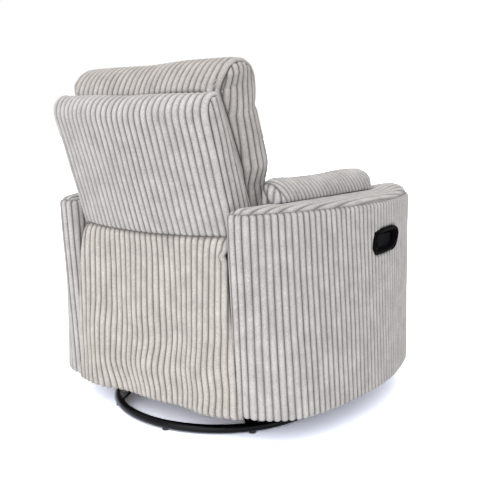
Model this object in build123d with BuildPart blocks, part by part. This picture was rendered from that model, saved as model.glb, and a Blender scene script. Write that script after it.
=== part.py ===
from build123d import *
import os
from math import atan2, cos, degrees, hypot, radians, sin

os.makedirs("parts", exist_ok=True)

# Swivel glider recliner. Millimetres, +Z up, the sitter faces -Y and the sitter's left is +X.
# Lengths named _AHEAD and _BEHIND run from the swivel axis towards the front and the back.
AXIS_Y = 67.65

# Fits
RUN_FIT = 0.08
PIN_FIT = 0.03
SOFT_GAP = 0.4
BOARD_GAP = 0.3

# Floor ring and legs
FOOT_HEIGHT = 4.0
FOOT_RADIUS = 10.0
FOOT_COUNT = 8
RING_RADIUS = 323.0
RING_TUBE = 25.0
LEG_COUNT = 4
LEG_TURN = 53.0
LEG_WIDTH = 36.0
LEG_THICKNESS = 6.0
LEG_SLOPE_RUN = 55.0
LEG_INNER = 42.0
LEG_TOP = 66.0

# Ball swivel
HUB_RADIUS = 150.0
HUB_THICKNESS = 6.0
RACE_RADIUS = 122.0
RACE_WIDTH = 50.0
RACE_THICKNESS = 5.0
BALL_RADIUS = 4.0
BALL_COUNT = 18
BALL_GAP = 0.2
TURNTABLE_RADIUS = 158.0
TURNTABLE_THICKNESS = 6.0
BOLT_RADIUS = 8.0
BOLT_HEAD = 13.0
BOLT_HEAD_HEIGHT = 8.0
NUT_GAP = 0.4

# Hanging-link glider
BEAM_WIDTH = 40.0
BEAM_HEIGHT = 28.0
BEAM_SPREAD = 110.0
HANGER_X = 205.0
PLATE = 5.0
PLATE_GAP = 1.0
HANGER_HALF_TOP = 168.0
HANGER_HALF_BOTTOM = 135.0
LINK_SPREAD = 140.0
LINK_LENGTH = 170.0
LINK_WIDTH = 30.0
LINK_LIFT = 195.0
LINK_EDGE = 22.0
PIN_RADIUS = 6.0
PIN_HEAD = 9.0
PIN_HEAD_HEIGHT = 3.0
CARRIAGE_GAP = 6.0
CARRIAGE_HALF = 250.0
CARRIAGE_FLANGE = 38.0
TUBE_RADIUS = 10.0
TUBE_SPREAD = 205.0

# Seat
SEAT_FRAME_Z = 372.0
RAIL_HEIGHT = 50.0
RAIL_GAP = 9.0
RAIL_CLEAR = 3.0
RAIL_BEHIND = 258.0
DECK_THICKNESS = 14.0
DECK_CLEAR = 8.0
DECK_DEPTH = 130.0
REAR_RAIL_BEHIND = 150.0
REAR_RAIL_DEPTH = 30.0
STRAP_WIDTH = 55.0
STRAP_THICKNESS = 2.0
STRAP_COUNT = 5
STRAP_PITCH = 88.0
STRAP_LAP = 22.0
SEAT_SIDE_GAP = 14.0
SEAT_AHEAD = 556.0
SEAT_BEHIND = 138.0
SEAT_EDGE_HEIGHT = 48.0
SEAT_CROWN = 20.0
SEAT_NOSE = 14.0
SEAT_DRAW = 12.0

# Arms: plan outlines at the top and at the bottom, measured sideways from the middle of the chair
ARM_INNER_X = 276.0
ARM_BOTTOM_Z = 95.0
ARM_TOP_Z = 646.0
ARM_CROWN = 12.0
ARM_WALL = 10.0
ARM_REAR_X = 330.0
ARM_HIP_TOP = 417.0
ARM_HIP_BOTTOM = 446.0
ARM_WIDEST_TOP = 468.0
ARM_WIDEST_BOTTOM = 494.0
ARM_SHOULDER_TOP = 416.0
ARM_SHOULDER_BOTTOM = 445.0
ARM_FRONT_X = 330.0
ARM_REAR_TOP = 349.0
ARM_REAR_BOTTOM = 306.0
ARM_HIP_DEPTH_TOP = 183.0
ARM_HIP_DEPTH_BOTTOM = 104.0
ARM_HIP_BULGE_TOP = 5.0
ARM_HIP_BULGE_BOTTOM = 18.0
ARM_WIDEST_AHEAD_TOP = 150.0
ARM_WIDEST_AHEAD_BOTTOM = 113.0
ARM_NOSE_DEPTH_TOP = 109.0
ARM_NOSE_DEPTH_BOTTOM = 142.0
ARM_FRONT_AHEAD = 573.0
ARM_FRONT_BULGE = 11.0
ARM_BOARD = 16.0
ARM_BOARD_LIFT = 6.0
ARM_BOARD_DROP = 28.0
ARM_BOARD_MARGIN = 26.0
FORMER = 15.0
FORMER_EASE = 2.5
INNER_CUT_LIFT = 6.0
STRETCHER_HEIGHT = 50.0
STRETCHER_DEPTH = 20.0
STRETCHER_LIFT = 10.0
STRETCHER_INSET = 32.0

# Arm pads
PAD_AHEAD = 398.0
PAD_BEHIND = 118.0
PAD_OUTER_X = 338.0
PAD_APEX_X = 296.0
PAD_INNER_X = 238.0
PAD_RISE = 58.0
PAD_FRONT_RISE = 66.0
PAD_SHOULDER = 8.0
PAD_HEEL = 10.0
PAD_OUTER_ROUND = 12.0
PAD_INNER_ROUND = 14.0
PAD_BOTTOM_Z = 506.0
PAD_END_DRAW = 26.0

# Pull in the sitter's right arm
CUP_AHEAD = 180.0
CUP_Z = 520.0
CUP_LENGTH = 164.0
CUP_HEIGHT = 68.0
CUP_DEPTH = 42.0
CUP_WALL = 4.0
CUP_TOP_ROUND = 25.0
CUP_REAR_ROUND = 14.0
CUP_FRONT_ROUND = 40.0
CUP_PROUD = 3.0
FINGER_GAP = 34.0
LEVER_THICKNESS = 7.0
LEVER_SIDE_GAP = 12.0
LEVER_SETBACK = 6.0
LEVER_KNUCKLE = 6.5
LEVER_ROUND = 8.0
LEVER_PIN_RADIUS = 3.0
LEVER_PIN_INSET = 14.0
LEVER_PIN_SHORT = 1.0

# Reclining back, drawn in its own tilted plane: rearwards from the hinge, then up the back
BACK_TILT = 14.0
HINGE_BEHIND = 225.0
HINGE_Z = 440.0
BACK_SIDE_GAP = 12.0
BACK_EDGE_LOW = 50.0
BACK_EDGE_HIGH = 80.0
BACK_CROWN = 28.0
BACK_LOW = 138.0
BACK_HIGH = 516.0
BACK_TOP_FRONT = 15.0
BACK_LOW_FRONT = -62.0
BACK_ROUND = 20.0
STILE_WIDTH = 34.0
STILE_DEPTH = 22.0
STILE_OFFSET = 8.0
STILE_START = 16.0
STILE_END = 400.0
BACK_BOARD = 12.0
BACK_BOARD_HALF = 236.0
BACK_BOARD_END = 490.0
CROSS_RAIL_LOW = 96.0
CROSS_RAIL_HIGH = 136.0
BRACKET_ROUND = 14.0
BRACKET_END = 120.0
BRACKET_GAP = 1.0
RECLINE_HALF = 30.0
RECLINE_FOOT = 30.0
CUSHION_SIDE_GAP = 6.0
CUSHION_DRAW = 34.0
CUSHION_LOW = 22.0
CUSHION_HIGH = 578.0
CUSHION_HEAD = 152.0
CUSHION_CHANNEL = 132.0
CUSHION_CHANNEL_AT = 450.0
CUSHION_LUMBAR = 158.0
CUSHION_TUCK = 56.0
CUSHION_CREST_DROP = 24.0
CUSHION_CREST_BACK = 16.0
CUSHION_TOP_STEP = 8.0
CUSHION_OVER = 14.0
CUSHION_HEEL = 6.0

# Footrest scissors
SCISSOR_AHEAD = 417.0
SCISSOR_Z = 395.0
BAR_LENGTH = 210.0
BAR_WIDTH = 20.0
BAR_ANGLE = 10.0
BAR_OPEN_ANGLE = 65.0
BAR_GAP = 1.0
STUD_RADIUS = 5.0
SLOT_SPARE = 4.0
SIDE_PLATE_AHEAD = 34.0
SIDE_PLATE_BACK = 90.0
SIDE_PLATE_LOW = 26.0
BOARD_OFFSET = 13.0
FOOT_BOARD = 15.0
FOOT_BOARD_HALF = 240.0
FOOT_BOARD_RISE = 9.0
FOOT_BOARD_DROP = 245.0
FOOT_PAD_SIDE_GAP = 14.0
FOOT_PAD_DEPTH = 60.0
FOOT_PAD_OVER = 5.0
FOOT_PAD_DRAW = 14.0
FOOT_PAD_ROUND = 4.0
FOOT_BRACKET_DROP = 55.0
FOOT_BRACKET_BACK = 10.0

# Cloth skirt under the back panel
SKIRT_THICKNESS = 3.0
SKIRT_TOP_GAP = 14.0
SKIRT_MIDDLE_GAP = 8.0
SKIRT_BOTTOM_SPREAD = 22.0
SKIRT_BOTTOM_Z = 95.0
SKIRT_BOTTOM_BEHIND = 326.0
SKIRT_BOTTOM_BOW = 12.0
SKIRT_FOLD = 5.0
SKIRT_FOLDS = 8

# Heights and positions that follow from the sizes above
ring_z = FOOT_HEIGHT + RING_TUBE / 2
hub_top = LEG_TOP + HUB_THICKNESS
race_top = hub_top + RACE_THICKNESS
ball_z = race_top + BALL_GAP + BALL_RADIUS
table_low = ball_z + BALL_RADIUS + BALL_GAP
table_top = table_low + TURNTABLE_THICKNESS
link_x = HANGER_X + PLATE + PLATE_GAP
pin_head_x = link_x + PLATE + PLATE_GAP / 2
carriage_x = link_x + PLATE + CARRIAGE_GAP
link_top_z = table_top + LINK_LIFT + LINK_EDGE
link_low_z = link_top_z - LINK_LENGTH
rail_x = carriage_x + PLATE + RAIL_GAP
rail_top = SEAT_FRAME_Z + RAIL_HEIGHT
seat_low = rail_top + STRAP_THICKNESS + SOFT_GAP
board_x = ARM_INNER_X + ARM_WALL
side_plate_x = rail_x - PLATE
bar_x = side_plate_x - BAR_GAP - PLATE
inner_bar_x = bar_x - BAR_GAP - PLATE
scissor_y = AXIS_Y - SCISSOR_AHEAD
hinge_y = AXIS_Y + HINGE_BEHIND
bracket_x = rail_x
recline_x = bracket_x + PLATE + BRACKET_GAP
foot_y = scissor_y - 2 * BAR_LENGTH * sin(radians(BAR_ANGLE))
foot_board_y = foot_y - BOARD_OFFSET
rail_front = foot_board_y + RAIL_CLEAR
rail_rear = AXIS_Y + RAIL_BEHIND
deck_front = foot_board_y + DECK_CLEAR
deck_rear = deck_front + DECK_DEPTH
seat_half = ARM_INNER_X - SEAT_SIDE_GAP
foot_pad_half = ARM_INNER_X - FOOT_PAD_SIDE_GAP
cushion_half = ARM_INNER_X - CUSHION_SIDE_GAP
back_half = ARM_INNER_X - BACK_SIDE_GAP
skirt_top_half = ARM_INNER_X - SKIRT_TOP_GAP
skirt_middle_half = ARM_INNER_X - SKIRT_MIDDLE_GAP
skirt_bottom_half = ARM_INNER_X + SKIRT_BOTTOM_SPREAD
sides = (("left", 1), ("right", -1))


def save(piece, name):
    """Label a finished piece and write it."""
    piece.part.label = name
    export_step(piece.part, f"parts/{name}.step")


def side_plane(sign, inner, thickness):
    """Plane whose +X extrusion by thickness fills inner to inner + thickness on one side."""
    return Plane.YZ.offset(inner if sign > 0 else -(inner + thickness))


def back_plane(x):
    """Tilted plane of the back: local x runs rearwards from the hinge, local y up the back."""
    lean = radians(BACK_TILT)
    return Plane(origin=(x, hinge_y, HINGE_Z), x_dir=(0, cos(lean), -sin(lean)), z_dir=(1, 0, 0))


def bulge_point(a, b, height):
    """Point beside the middle of a to b, on the right of that direction."""
    length = hypot(b[0] - a[0], b[1] - a[1])
    side = ((b[1] - a[1]) / length, -(b[0] - a[0]) / length)
    return ((a[0] + b[0]) / 2 + side[0] * height, (a[1] + b[1]) / 2 + side[1] * height)


def between(low, high, part):
    """Value that share of the way from the lower one to the upper one."""
    return low + (high - low) * part


def arm_outline(sign, inset, z, part):
    """Closed plan of an arm at height z; part is 0 at the bottom outline and 1 at the top one."""
    rear = AXIS_Y + between(ARM_REAR_BOTTOM, ARM_REAR_TOP, part) - inset
    hip = rear - between(ARM_HIP_DEPTH_BOTTOM, ARM_HIP_DEPTH_TOP, part) + inset * 0.6
    side = AXIS_Y - between(ARM_WIDEST_AHEAD_BOTTOM, ARM_WIDEST_AHEAD_TOP, part)
    front = AXIS_Y - ARM_FRONT_AHEAD + inset
    shoulder = front + between(ARM_NOSE_DEPTH_BOTTOM, ARM_NOSE_DEPTH_TOP, part) - inset * 0.6
    inner = ARM_INNER_X + inset
    corner = (ARM_REAR_X - inset * 0.3, rear)
    waist = (between(ARM_HIP_BOTTOM, ARM_HIP_TOP, part) - inset * 0.92, hip)
    widest = (between(ARM_WIDEST_BOTTOM, ARM_WIDEST_TOP, part) - inset, side)
    breast = (between(ARM_SHOULDER_BOTTOM, ARM_SHOULDER_TOP, part) - inset * 0.92, shoulder)
    nose = (ARM_FRONT_X - inset * 0.3, front)
    hip_mid = bulge_point(waist, corner, between(ARM_HIP_BULGE_BOTTOM, ARM_HIP_BULGE_TOP, part))
    nose_mid = bulge_point(nose, breast, ARM_FRONT_BULGE)
    flip = [(sign * x, y) for x, y in (corner, hip_mid, waist, widest, breast, nose_mid, nose)]
    with BuildSketch(Plane.XY.offset(z)) as outline:
        with BuildLine():
            Line((sign * inner, rear), flip[0])
            ThreePointArc(flip[0], flip[1], flip[2])
            ThreePointArc(flip[2], flip[3], flip[4])
            ThreePointArc(flip[4], flip[5], flip[6])
            Line(flip[6], (sign * inner, front))
            Line((sign * inner, front), (sign * inner, rear))
        make_face()
    return outline


def arm_part(z):
    """Share of the way from the bottom outline to the top one."""
    return (z - ARM_BOTTOM_Z) / (ARM_TOP_Z - ARM_BOTTOM_Z)


def cup_outline(x, grow):
    """Outline of the pull cup in a plane across X, grown outwards by a clearance or inwards by a wall."""
    with BuildSketch(Plane.YZ.offset(x)) as outline:
        with Locations((AXIS_Y - CUP_AHEAD, CUP_Z)):
            Rectangle(CUP_LENGTH + 2 * grow, CUP_HEIGHT + 2 * grow)
        low = outline.vertices().sort_by(Axis.Y)[:2].sort_by(Axis.X)
        fillet(low[0], CUP_FRONT_ROUND + grow)
        low = outline.vertices().sort_by(Axis.Y)[:2].sort_by(Axis.X)
        fillet(low[1], CUP_REAR_ROUND + grow)
        high = outline.vertices().sort_by(Axis.Y)[-2:]
        fillet(high, CUP_TOP_ROUND + grow)
    return outline


def slot_plate(plane, start, end, width, thickness, holes, hole_radius):
    """Round-ended bar between two points of a plane, with holes."""
    with BuildPart() as bar:
        with BuildSketch(plane):
            middle = ((start[0] + end[0]) / 2, (start[1] + end[1]) / 2)
            turn = degrees(atan2(end[1] - start[1], end[0] - start[0]))
            with Locations(middle):
                SlotCenterToCenter(hypot(end[0] - start[0], end[1] - start[1]), width, rotation=turn)
            if holes:
                with Locations(*holes):
                    Circle(hole_radius, mode=Mode.SUBTRACT)
        extrude(amount=thickness)
    return bar


# Floor ring
with BuildPart() as base_ring:
    with Locations((0, AXIS_Y, ring_z)):
        Torus(RING_RADIUS, RING_TUBE / 2)
save(base_ring, "base_ring")

# Floor glides, saddled under the ring
with BuildPart() as floor_glides:
    with Locations((0, AXIS_Y, 0)):
        with PolarLocations(RING_RADIUS, FOOT_COUNT, start_angle=LEG_TURN):
            Cylinder(FOOT_RADIUS, ring_z, align=(Align.CENTER, Align.CENTER, Align.MIN))
    add(base_ring.part, mode=Mode.SUBTRACT)
save(floor_glides, "floor_glides")

# Legs: bent flat bars, coped to the ring
with BuildPart() as base_legs:
    for leg in range(LEG_COUNT):
        turn = radians(LEG_TURN + leg * 360 / LEG_COUNT)
        leg_plane = Plane((0, AXIS_Y, 0), x_dir=(cos(turn), sin(turn), 0), z_dir=(sin(turn), -cos(turn), 0))
        bend = RING_RADIUS - LEG_SLOPE_RUN
        with BuildSketch(leg_plane):
            with BuildLine():
                Polyline((LEG_INNER, LEG_TOP), (bend, LEG_TOP), (RING_RADIUS, ring_z + LEG_THICKNESS * 0.7),
                         (RING_RADIUS, ring_z - LEG_THICKNESS * 0.7),
                         (bend - LEG_THICKNESS * 0.4, LEG_TOP - LEG_THICKNESS),
                         (LEG_INNER, LEG_TOP - LEG_THICKNESS), close=True)
            make_face()
        extrude(amount=LEG_WIDTH / 2, both=True)
    add(base_ring.part, mode=Mode.SUBTRACT)
save(base_legs, "base_legs")

# Hub plate
with BuildPart() as hub_plate:
    with BuildSketch(Plane.XY.offset(LEG_TOP)):
        with Locations((0, AXIS_Y)):
            Circle(HUB_RADIUS)
            Circle(BOLT_RADIUS + PIN_FIT, mode=Mode.SUBTRACT)
    extrude(amount=HUB_THICKNESS)
save(hub_plate, "hub_plate")

# Lower ball race
with BuildPart() as swivel_race:
    with BuildSketch(Plane.XY.offset(hub_top)):
        with Locations((0, AXIS_Y)):
            Circle(RACE_RADIUS + RACE_WIDTH / 2)
            Circle(RACE_RADIUS - RACE_WIDTH / 2, mode=Mode.SUBTRACT)
    extrude(amount=RACE_THICKNESS)
save(swivel_race, "swivel_race")

# Swivel balls
with BuildPart() as swivel_balls:
    with Locations((0, AXIS_Y, ball_z)):
        with PolarLocations(RACE_RADIUS, BALL_COUNT):
            Sphere(BALL_RADIUS)
save(swivel_balls, "swivel_balls")

# Swivel bolt with its head below and nut above
with BuildPart() as swivel_bolt:
    with BuildSketch(Plane.XY.offset(LEG_TOP - BOLT_HEAD_HEIGHT)):
        with Locations((0, AXIS_Y)):
            RegularPolygon(BOLT_HEAD, 6)
    extrude(amount=BOLT_HEAD_HEIGHT)
    with BuildSketch(Plane.XY.offset(LEG_TOP)):
        with Locations((0, AXIS_Y)):
            Circle(BOLT_RADIUS)
    extrude(amount=table_top + NUT_GAP - LEG_TOP)
    with BuildSketch(Plane.XY.offset(table_top + NUT_GAP)):
        with Locations((0, AXIS_Y)):
            RegularPolygon(BOLT_HEAD, 6)
    extrude(amount=BOLT_HEAD_HEIGHT)
save(swivel_bolt, "swivel_bolt")

# Turntable plate
with BuildPart() as turntable_plate:
    with BuildSketch(Plane.XY.offset(table_low)):
        with Locations((0, AXIS_Y)):
            Circle(TURNTABLE_RADIUS)
            Circle(BOLT_RADIUS + RUN_FIT, mode=Mode.SUBTRACT)
    extrude(amount=TURNTABLE_THICKNESS)
save(turntable_plate, "turntable_plate")

# Hanger beams across the turntable
with BuildPart() as hanger_beams:
    with Locations((0, AXIS_Y - BEAM_SPREAD, table_top), (0, AXIS_Y + BEAM_SPREAD, table_top)):
        Box(2 * HANGER_X, BEAM_WIDTH, BEAM_HEIGHT, align=(Align.CENTER, Align.CENTER, Align.MIN))
save(hanger_beams, "hanger_beams")

# Hanger plates
upper_points = [(AXIS_Y - LINK_SPREAD, link_top_z), (AXIS_Y + LINK_SPREAD, link_top_z)]
lower_points = [(AXIS_Y - LINK_SPREAD, link_low_z), (AXIS_Y + LINK_SPREAD, link_low_z)]
for side, sign in sides:
    with BuildPart() as hanger_plate:
        with BuildSketch(side_plane(sign, HANGER_X, PLATE)):
            with BuildLine():
                Polyline((AXIS_Y - HANGER_HALF_BOTTOM, table_top), (AXIS_Y + HANGER_HALF_BOTTOM, table_top),
                         (AXIS_Y + HANGER_HALF_TOP, link_top_z + LINK_EDGE),
                         (AXIS_Y - HANGER_HALF_TOP, link_top_z + LINK_EDGE), close=True)
            make_face()
            with Locations(*upper_points):
                Circle(PIN_RADIUS + PIN_FIT, mode=Mode.SUBTRACT)
        extrude(amount=PLATE)
    save(hanger_plate, f"hanger_plate_{side}")

# Upper link pins, flush in the hanger plates, headed outside the links
with BuildPart() as glide_upper_pins:
    for side, sign in sides:
        with BuildSketch(side_plane(sign, HANGER_X, pin_head_x - HANGER_X)):
            with Locations(*upper_points):
                Circle(PIN_RADIUS)
        extrude(amount=pin_head_x - HANGER_X)
        with BuildSketch(side_plane(sign, pin_head_x, PIN_HEAD_HEIGHT)):
            with Locations(*upper_points):
                Circle(PIN_HEAD)
        extrude(amount=PIN_HEAD_HEIGHT)
save(glide_upper_pins, "glide_upper_pins")

# Swing links
for end, index in (("front", 0), ("rear", 1)):
    for side, sign in sides:
        holes = [upper_points[index], lower_points[index]]
        swing_link = slot_plate(side_plane(sign, link_x, PLATE), holes[0], holes[1], LINK_WIDTH, PLATE,
                                holes, PIN_RADIUS + RUN_FIT)
        save(swing_link, f"swing_link_{end}_{side}")

# Carriage plates with their top flanges
for side, sign in sides:
    with BuildPart() as carriage_plate:
        with BuildSketch(side_plane(sign, carriage_x, PLATE)):
            with BuildLine():
                Polyline((AXIS_Y - LINK_SPREAD - LINK_EDGE, link_low_z - LINK_EDGE),
                         (AXIS_Y + LINK_SPREAD + LINK_EDGE, link_low_z - LINK_EDGE),
                         (AXIS_Y + CARRIAGE_HALF, SEAT_FRAME_Z - LINK_EDGE * 2),
                         (AXIS_Y + CARRIAGE_HALF, SEAT_FRAME_Z),
                         (AXIS_Y - CARRIAGE_HALF, SEAT_FRAME_Z),
                         (AXIS_Y - CARRIAGE_HALF, SEAT_FRAME_Z - LINK_EDGE * 2), close=True)
            make_face()
            with Locations(*lower_points):
                Circle(PIN_RADIUS + PIN_FIT, mode=Mode.SUBTRACT)
        extrude(amount=PLATE)
        with Locations((sign * (carriage_x + CARRIAGE_FLANGE / 2), AXIS_Y, SEAT_FRAME_Z)):
            Box(CARRIAGE_FLANGE, 2 * CARRIAGE_HALF, PLATE, align=(Align.CENTER, Align.CENTER, Align.MAX))
    save(carriage_plate, f"carriage_plate_{side}")

# Lower link pins, headed outside the carriage plates
with BuildPart() as glide_lower_pins:
    for side, sign in sides:
        shank = carriage_x + PLATE - link_x
        with BuildSketch(side_plane(sign, link_x, shank)):
            with Locations(*lower_points):
                Circle(PIN_RADIUS)
        extrude(amount=shank)
        with BuildSketch(side_plane(sign, carriage_x + PLATE, PIN_HEAD_HEIGHT)):
            with Locations(*lower_points):
                Circle(PIN_HEAD)
        extrude(amount=PIN_HEAD_HEIGHT)
save(glide_lower_pins, "glide_lower_pins")

# Carriage tubes between the plates, above the hanger plates
tube_z = link_top_z + LINK_EDGE + TUBE_RADIUS + PLATE
with BuildPart() as carriage_tubes:
    with BuildSketch(Plane.YZ.offset(-carriage_x)):
        with Locations((AXIS_Y - TUBE_SPREAD, tube_z), (AXIS_Y + TUBE_SPREAD, tube_z)):
            Circle(TUBE_RADIUS)
    extrude(amount=2 * carriage_x)
save(carriage_tubes, "carriage_tubes")

# Seat side rails
for side, sign in sides:
    with BuildPart() as seat_side_rail:
        with BuildSketch(side_plane(sign, rail_x, board_x - rail_x)):
            with Locations(((rail_front + rail_rear) / 2, SEAT_FRAME_Z + RAIL_HEIGHT / 2)):
                Rectangle(rail_rear - rail_front, RAIL_HEIGHT)
        extrude(amount=board_x - rail_x)
    save(seat_side_rail, f"seat_side_rail_{side}")

# Front deck board, over the folded scissors
with BuildPart() as seat_front_deck:
    with Locations((0, deck_front, rail_top)):
        Box(2 * rail_x, DECK_DEPTH, DECK_THICKNESS, align=(Align.CENTER, Align.MIN, Align.MAX))
save(seat_front_deck, "seat_front_deck")

# Rear seat rail
with BuildPart() as seat_rear_rail:
    with Locations((0, AXIS_Y + REAR_RAIL_BEHIND, rail_top)):
        Box(2 * rail_x, REAR_RAIL_DEPTH, RAIL_HEIGHT, align=(Align.CENTER, Align.MIN, Align.MAX))
save(seat_rear_rail, "seat_rear_rail")

# Webbing straps from the deck to the rear rail
strap_front = deck_rear - STRAP_LAP
strap_rear = AXIS_Y + REAR_RAIL_BEHIND + STRAP_LAP
with BuildPart() as seat_webbing:
    with Locations((0, (strap_front + strap_rear) / 2, rail_top)):
        with GridLocations(STRAP_PITCH, 1, STRAP_COUNT, 1):
            Box(STRAP_WIDTH, strap_rear - strap_front, STRAP_THICKNESS,
                align=(Align.CENTER, Align.CENTER, Align.MIN))
save(seat_webbing, "seat_webbing")

# Seat cushion: crowned across and along, with a rolled front
with BuildPart() as seat_cushion:
    for share, draw in ((-1, 1), (-0.86, 0.25), (0, 0), (0.86, 0.25), (1, 1)):
        front = AXIS_Y - SEAT_AHEAD + SEAT_NOSE + SEAT_DRAW * draw
        rear = AXIS_Y + SEAT_BEHIND - SEAT_DRAW * draw
        low = seat_low
        edge = seat_low + SEAT_EDGE_HEIGHT - SEAT_DRAW * draw
        crown = edge + SEAT_CROWN * (1 - 0.6 * draw)
        with BuildSketch(Plane.YZ.offset(share * seat_half)):
            with BuildLine():
                Line((front, low), (rear, low))
                Line((rear, low), (rear, edge))
                ThreePointArc((rear, edge), ((front + rear) / 2, crown), (front, edge))
                ThreePointArc((front, edge), (front - SEAT_NOSE, (edge + low) / 2), (front, low))
            make_face()
    loft()
save(seat_cushion, "seat_cushion")

# Arm covers: padded shells, open below, with the inner side cut away under the seat
cup_wall_x = between(ARM_WIDEST_BOTTOM, ARM_WIDEST_TOP, arm_part(CUP_Z))
for side, sign in sides:
    with BuildPart() as arm_cover:
        add(arm_outline(sign, 0, ARM_BOTTOM_Z, 0).sketch)
        add(arm_outline(sign, 0, ARM_TOP_Z, 1).sketch)
        loft(ruled=True)
        fillet(arm_cover.faces().sort_by(Axis.Z)[-1].edges(), ARM_CROWN)
        with BuildPart(mode=Mode.SUBTRACT):
            roof = ARM_TOP_Z - ARM_WALL
            below = ARM_BOTTOM_Z - ARM_WALL
            add(arm_outline(sign, ARM_WALL, below, arm_part(below)).sketch)
            add(arm_outline(sign, ARM_WALL, roof, arm_part(roof)).sketch)
            loft(ruled=True)
        cut_front = AXIS_Y - ARM_FRONT_AHEAD + 2 * ARM_WALL
        cut_rear = rail_rear + ARM_WALL
        with BuildSketch(side_plane(sign, ARM_INNER_X - ARM_WALL, 2 * ARM_WALL)):
            with BuildLine():
                Polyline((cut_front, below), (AXIS_Y + ARM_REAR_BOTTOM - 2 * ARM_WALL, below),
                         (cut_rear, SEAT_FRAME_Z - INNER_CUT_LIFT), (cut_rear, rail_top + INNER_CUT_LIFT),
                         (cut_front, rail_top + INNER_CUT_LIFT), close=True)
            make_face()
        extrude(amount=2 * ARM_WALL, mode=Mode.SUBTRACT)
        if side == "right":
            outside = -cup_wall_x - ARM_WALL
            extrude(cup_outline(outside, SOFT_GAP).sketch, amount=4 * ARM_WALL, mode=Mode.SUBTRACT)
    save(arm_cover, f"arm_cover_{side}")

# Arm boards, standing outside the seat rails
for side, sign in sides:
    with BuildPart() as arm_board:
        low = ARM_BOTTOM_Z + ARM_BOARD_LIFT
        high = ARM_TOP_Z - ARM_BOARD_DROP
        front = AXIS_Y - ARM_FRONT_AHEAD + ARM_BOARD_MARGIN
        rake = (ARM_REAR_TOP - ARM_REAR_BOTTOM) / (ARM_TOP_Z - ARM_BOTTOM_Z)
        rear_low = AXIS_Y + ARM_REAR_BOTTOM + rake * (low - ARM_BOTTOM_Z) - ARM_BOARD_MARGIN
        rear_high = AXIS_Y + ARM_REAR_BOTTOM + rake * (high - ARM_BOTTOM_Z) - ARM_BOARD_MARGIN
        with BuildSketch(side_plane(sign, board_x, ARM_BOARD)):
            with BuildLine():
                Polyline((front, low), (rear_low, low), (rear_high, high), (front, high), close=True)
            make_face()
        extrude(amount=ARM_BOARD)
    save(arm_board, f"arm_board_{side}")

# Arm formers: three shaped boards that give the cover its round plan
former_inner = board_x + ARM_BOARD
former_low = ARM_BOTTOM_Z + ARM_BOARD_LIFT
former_high = ARM_TOP_Z - ARM_BOARD_DROP - FORMER
former_spots = (former_low, (former_low + former_high) / 2, former_high)
for side, sign in sides:
    with BuildPart() as arm_formers:
        for low in former_spots:
            middle = arm_part(low + FORMER / 2)
            add(arm_outline(sign, ARM_WALL + FORMER_EASE, low, middle).sketch)
            extrude(amount=FORMER, taper=0)
        with Locations((sign * former_inner, AXIS_Y, 0)):
            Box(2 * (former_inner - ARM_INNER_X), 4 * ARM_FRONT_AHEAD, 4 * ARM_TOP_Z,
                align=(Align.MAX if sign > 0 else Align.MIN, Align.CENTER, Align.CENTER), mode=Mode.SUBTRACT)
    save(arm_formers, f"arm_formers_{side}")

# Rear stretcher between the arm boards
with BuildPart() as rear_stretcher:
    with Locations((0, AXIS_Y + ARM_REAR_BOTTOM - STRETCHER_INSET, ARM_BOTTOM_Z + STRETCHER_LIFT)):
        Box(2 * board_x, STRETCHER_DEPTH, STRETCHER_HEIGHT, align=(Align.CENTER, Align.MAX, Align.MIN))
save(rear_stretcher, "rear_stretcher")

# Arm pads: overstuffed rolls that hang over the inner edge of each arm
top_z = ARM_TOP_Z + SOFT_GAP
inner_x = ARM_INNER_X - SOFT_GAP
pad_span = PAD_AHEAD + PAD_BEHIND
for side, sign in sides:
    with BuildPart() as arm_pad:
        for share, draw in ((0, 1), (0.08, 0.3), (0.35, 0), (0.85, 0.1), (1, 1)):
            y = AXIS_Y - PAD_AHEAD + pad_span * share
            rise = PAD_FRONT_RISE + (PAD_RISE - PAD_FRONT_RISE) * share - PAD_END_DRAW * draw
            outer = PAD_OUTER_X - PAD_END_DRAW * draw
            inner = PAD_INNER_X + PAD_END_DRAW * draw * 0.8
            low = PAD_BOTTOM_Z + PAD_END_DRAW * draw
            apex = (sign * PAD_APEX_X, top_z + rise)
            shoulder = (sign * (inner + PAD_SHOULDER), ARM_TOP_Z - PAD_HEEL)
            with BuildSketch(Plane.XZ.offset(-y)):
                with BuildLine():
                    cheek = (sign * (outer - PAD_OUTER_ROUND), top_z + rise * 0.68)
                    ThreePointArc((sign * outer, top_z), cheek, apex)
                    ThreePointArc(apex, (sign * (inner + PAD_INNER_ROUND), top_z + rise * 0.62), shoulder)
                    side_mid = (sign * inner, (ARM_TOP_Z + low) / 2)
                    ThreePointArc(shoulder, side_mid, (sign * (inner + PAD_HEEL), low))
                    Line((sign * (inner + PAD_HEEL), low), (sign * inner_x, low))
                    Line((sign * inner_x, low), (sign * inner_x, top_z))
                    Line((sign * inner_x, top_z), (sign * outer, top_z))
                make_face()
        loft()
    save(arm_pad, f"arm_pad_{side}")

# Pull cup in the right arm
cup_y = AXIS_Y - CUP_AHEAD
cup_face = -cup_wall_x - CUP_PROUD
pin_offset = CUP_LENGTH / 2 - CUP_TOP_ROUND - LEVER_PIN_INSET
lever_length = pin_offset + CUP_LENGTH / 2 - CUP_WALL - FINGER_GAP
with BuildPart() as pull_cup:
    extrude(cup_outline(cup_face, 0).sketch, amount=CUP_DEPTH)
    extrude(cup_outline(cup_face - CUP_WALL, -CUP_WALL).sketch, amount=CUP_DEPTH, mode=Mode.SUBTRACT)
    pin_spot = (cup_face + LEVER_SETBACK + LEVER_KNUCKLE, cup_y + pin_offset)
    with BuildSketch(Plane.XY.offset(CUP_Z - CUP_HEIGHT)):
        with Locations(pin_spot):
            Circle(LEVER_PIN_RADIUS + PIN_FIT)
    extrude(amount=2 * CUP_HEIGHT, mode=Mode.SUBTRACT)
save(pull_cup, "pull_cup")

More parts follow.
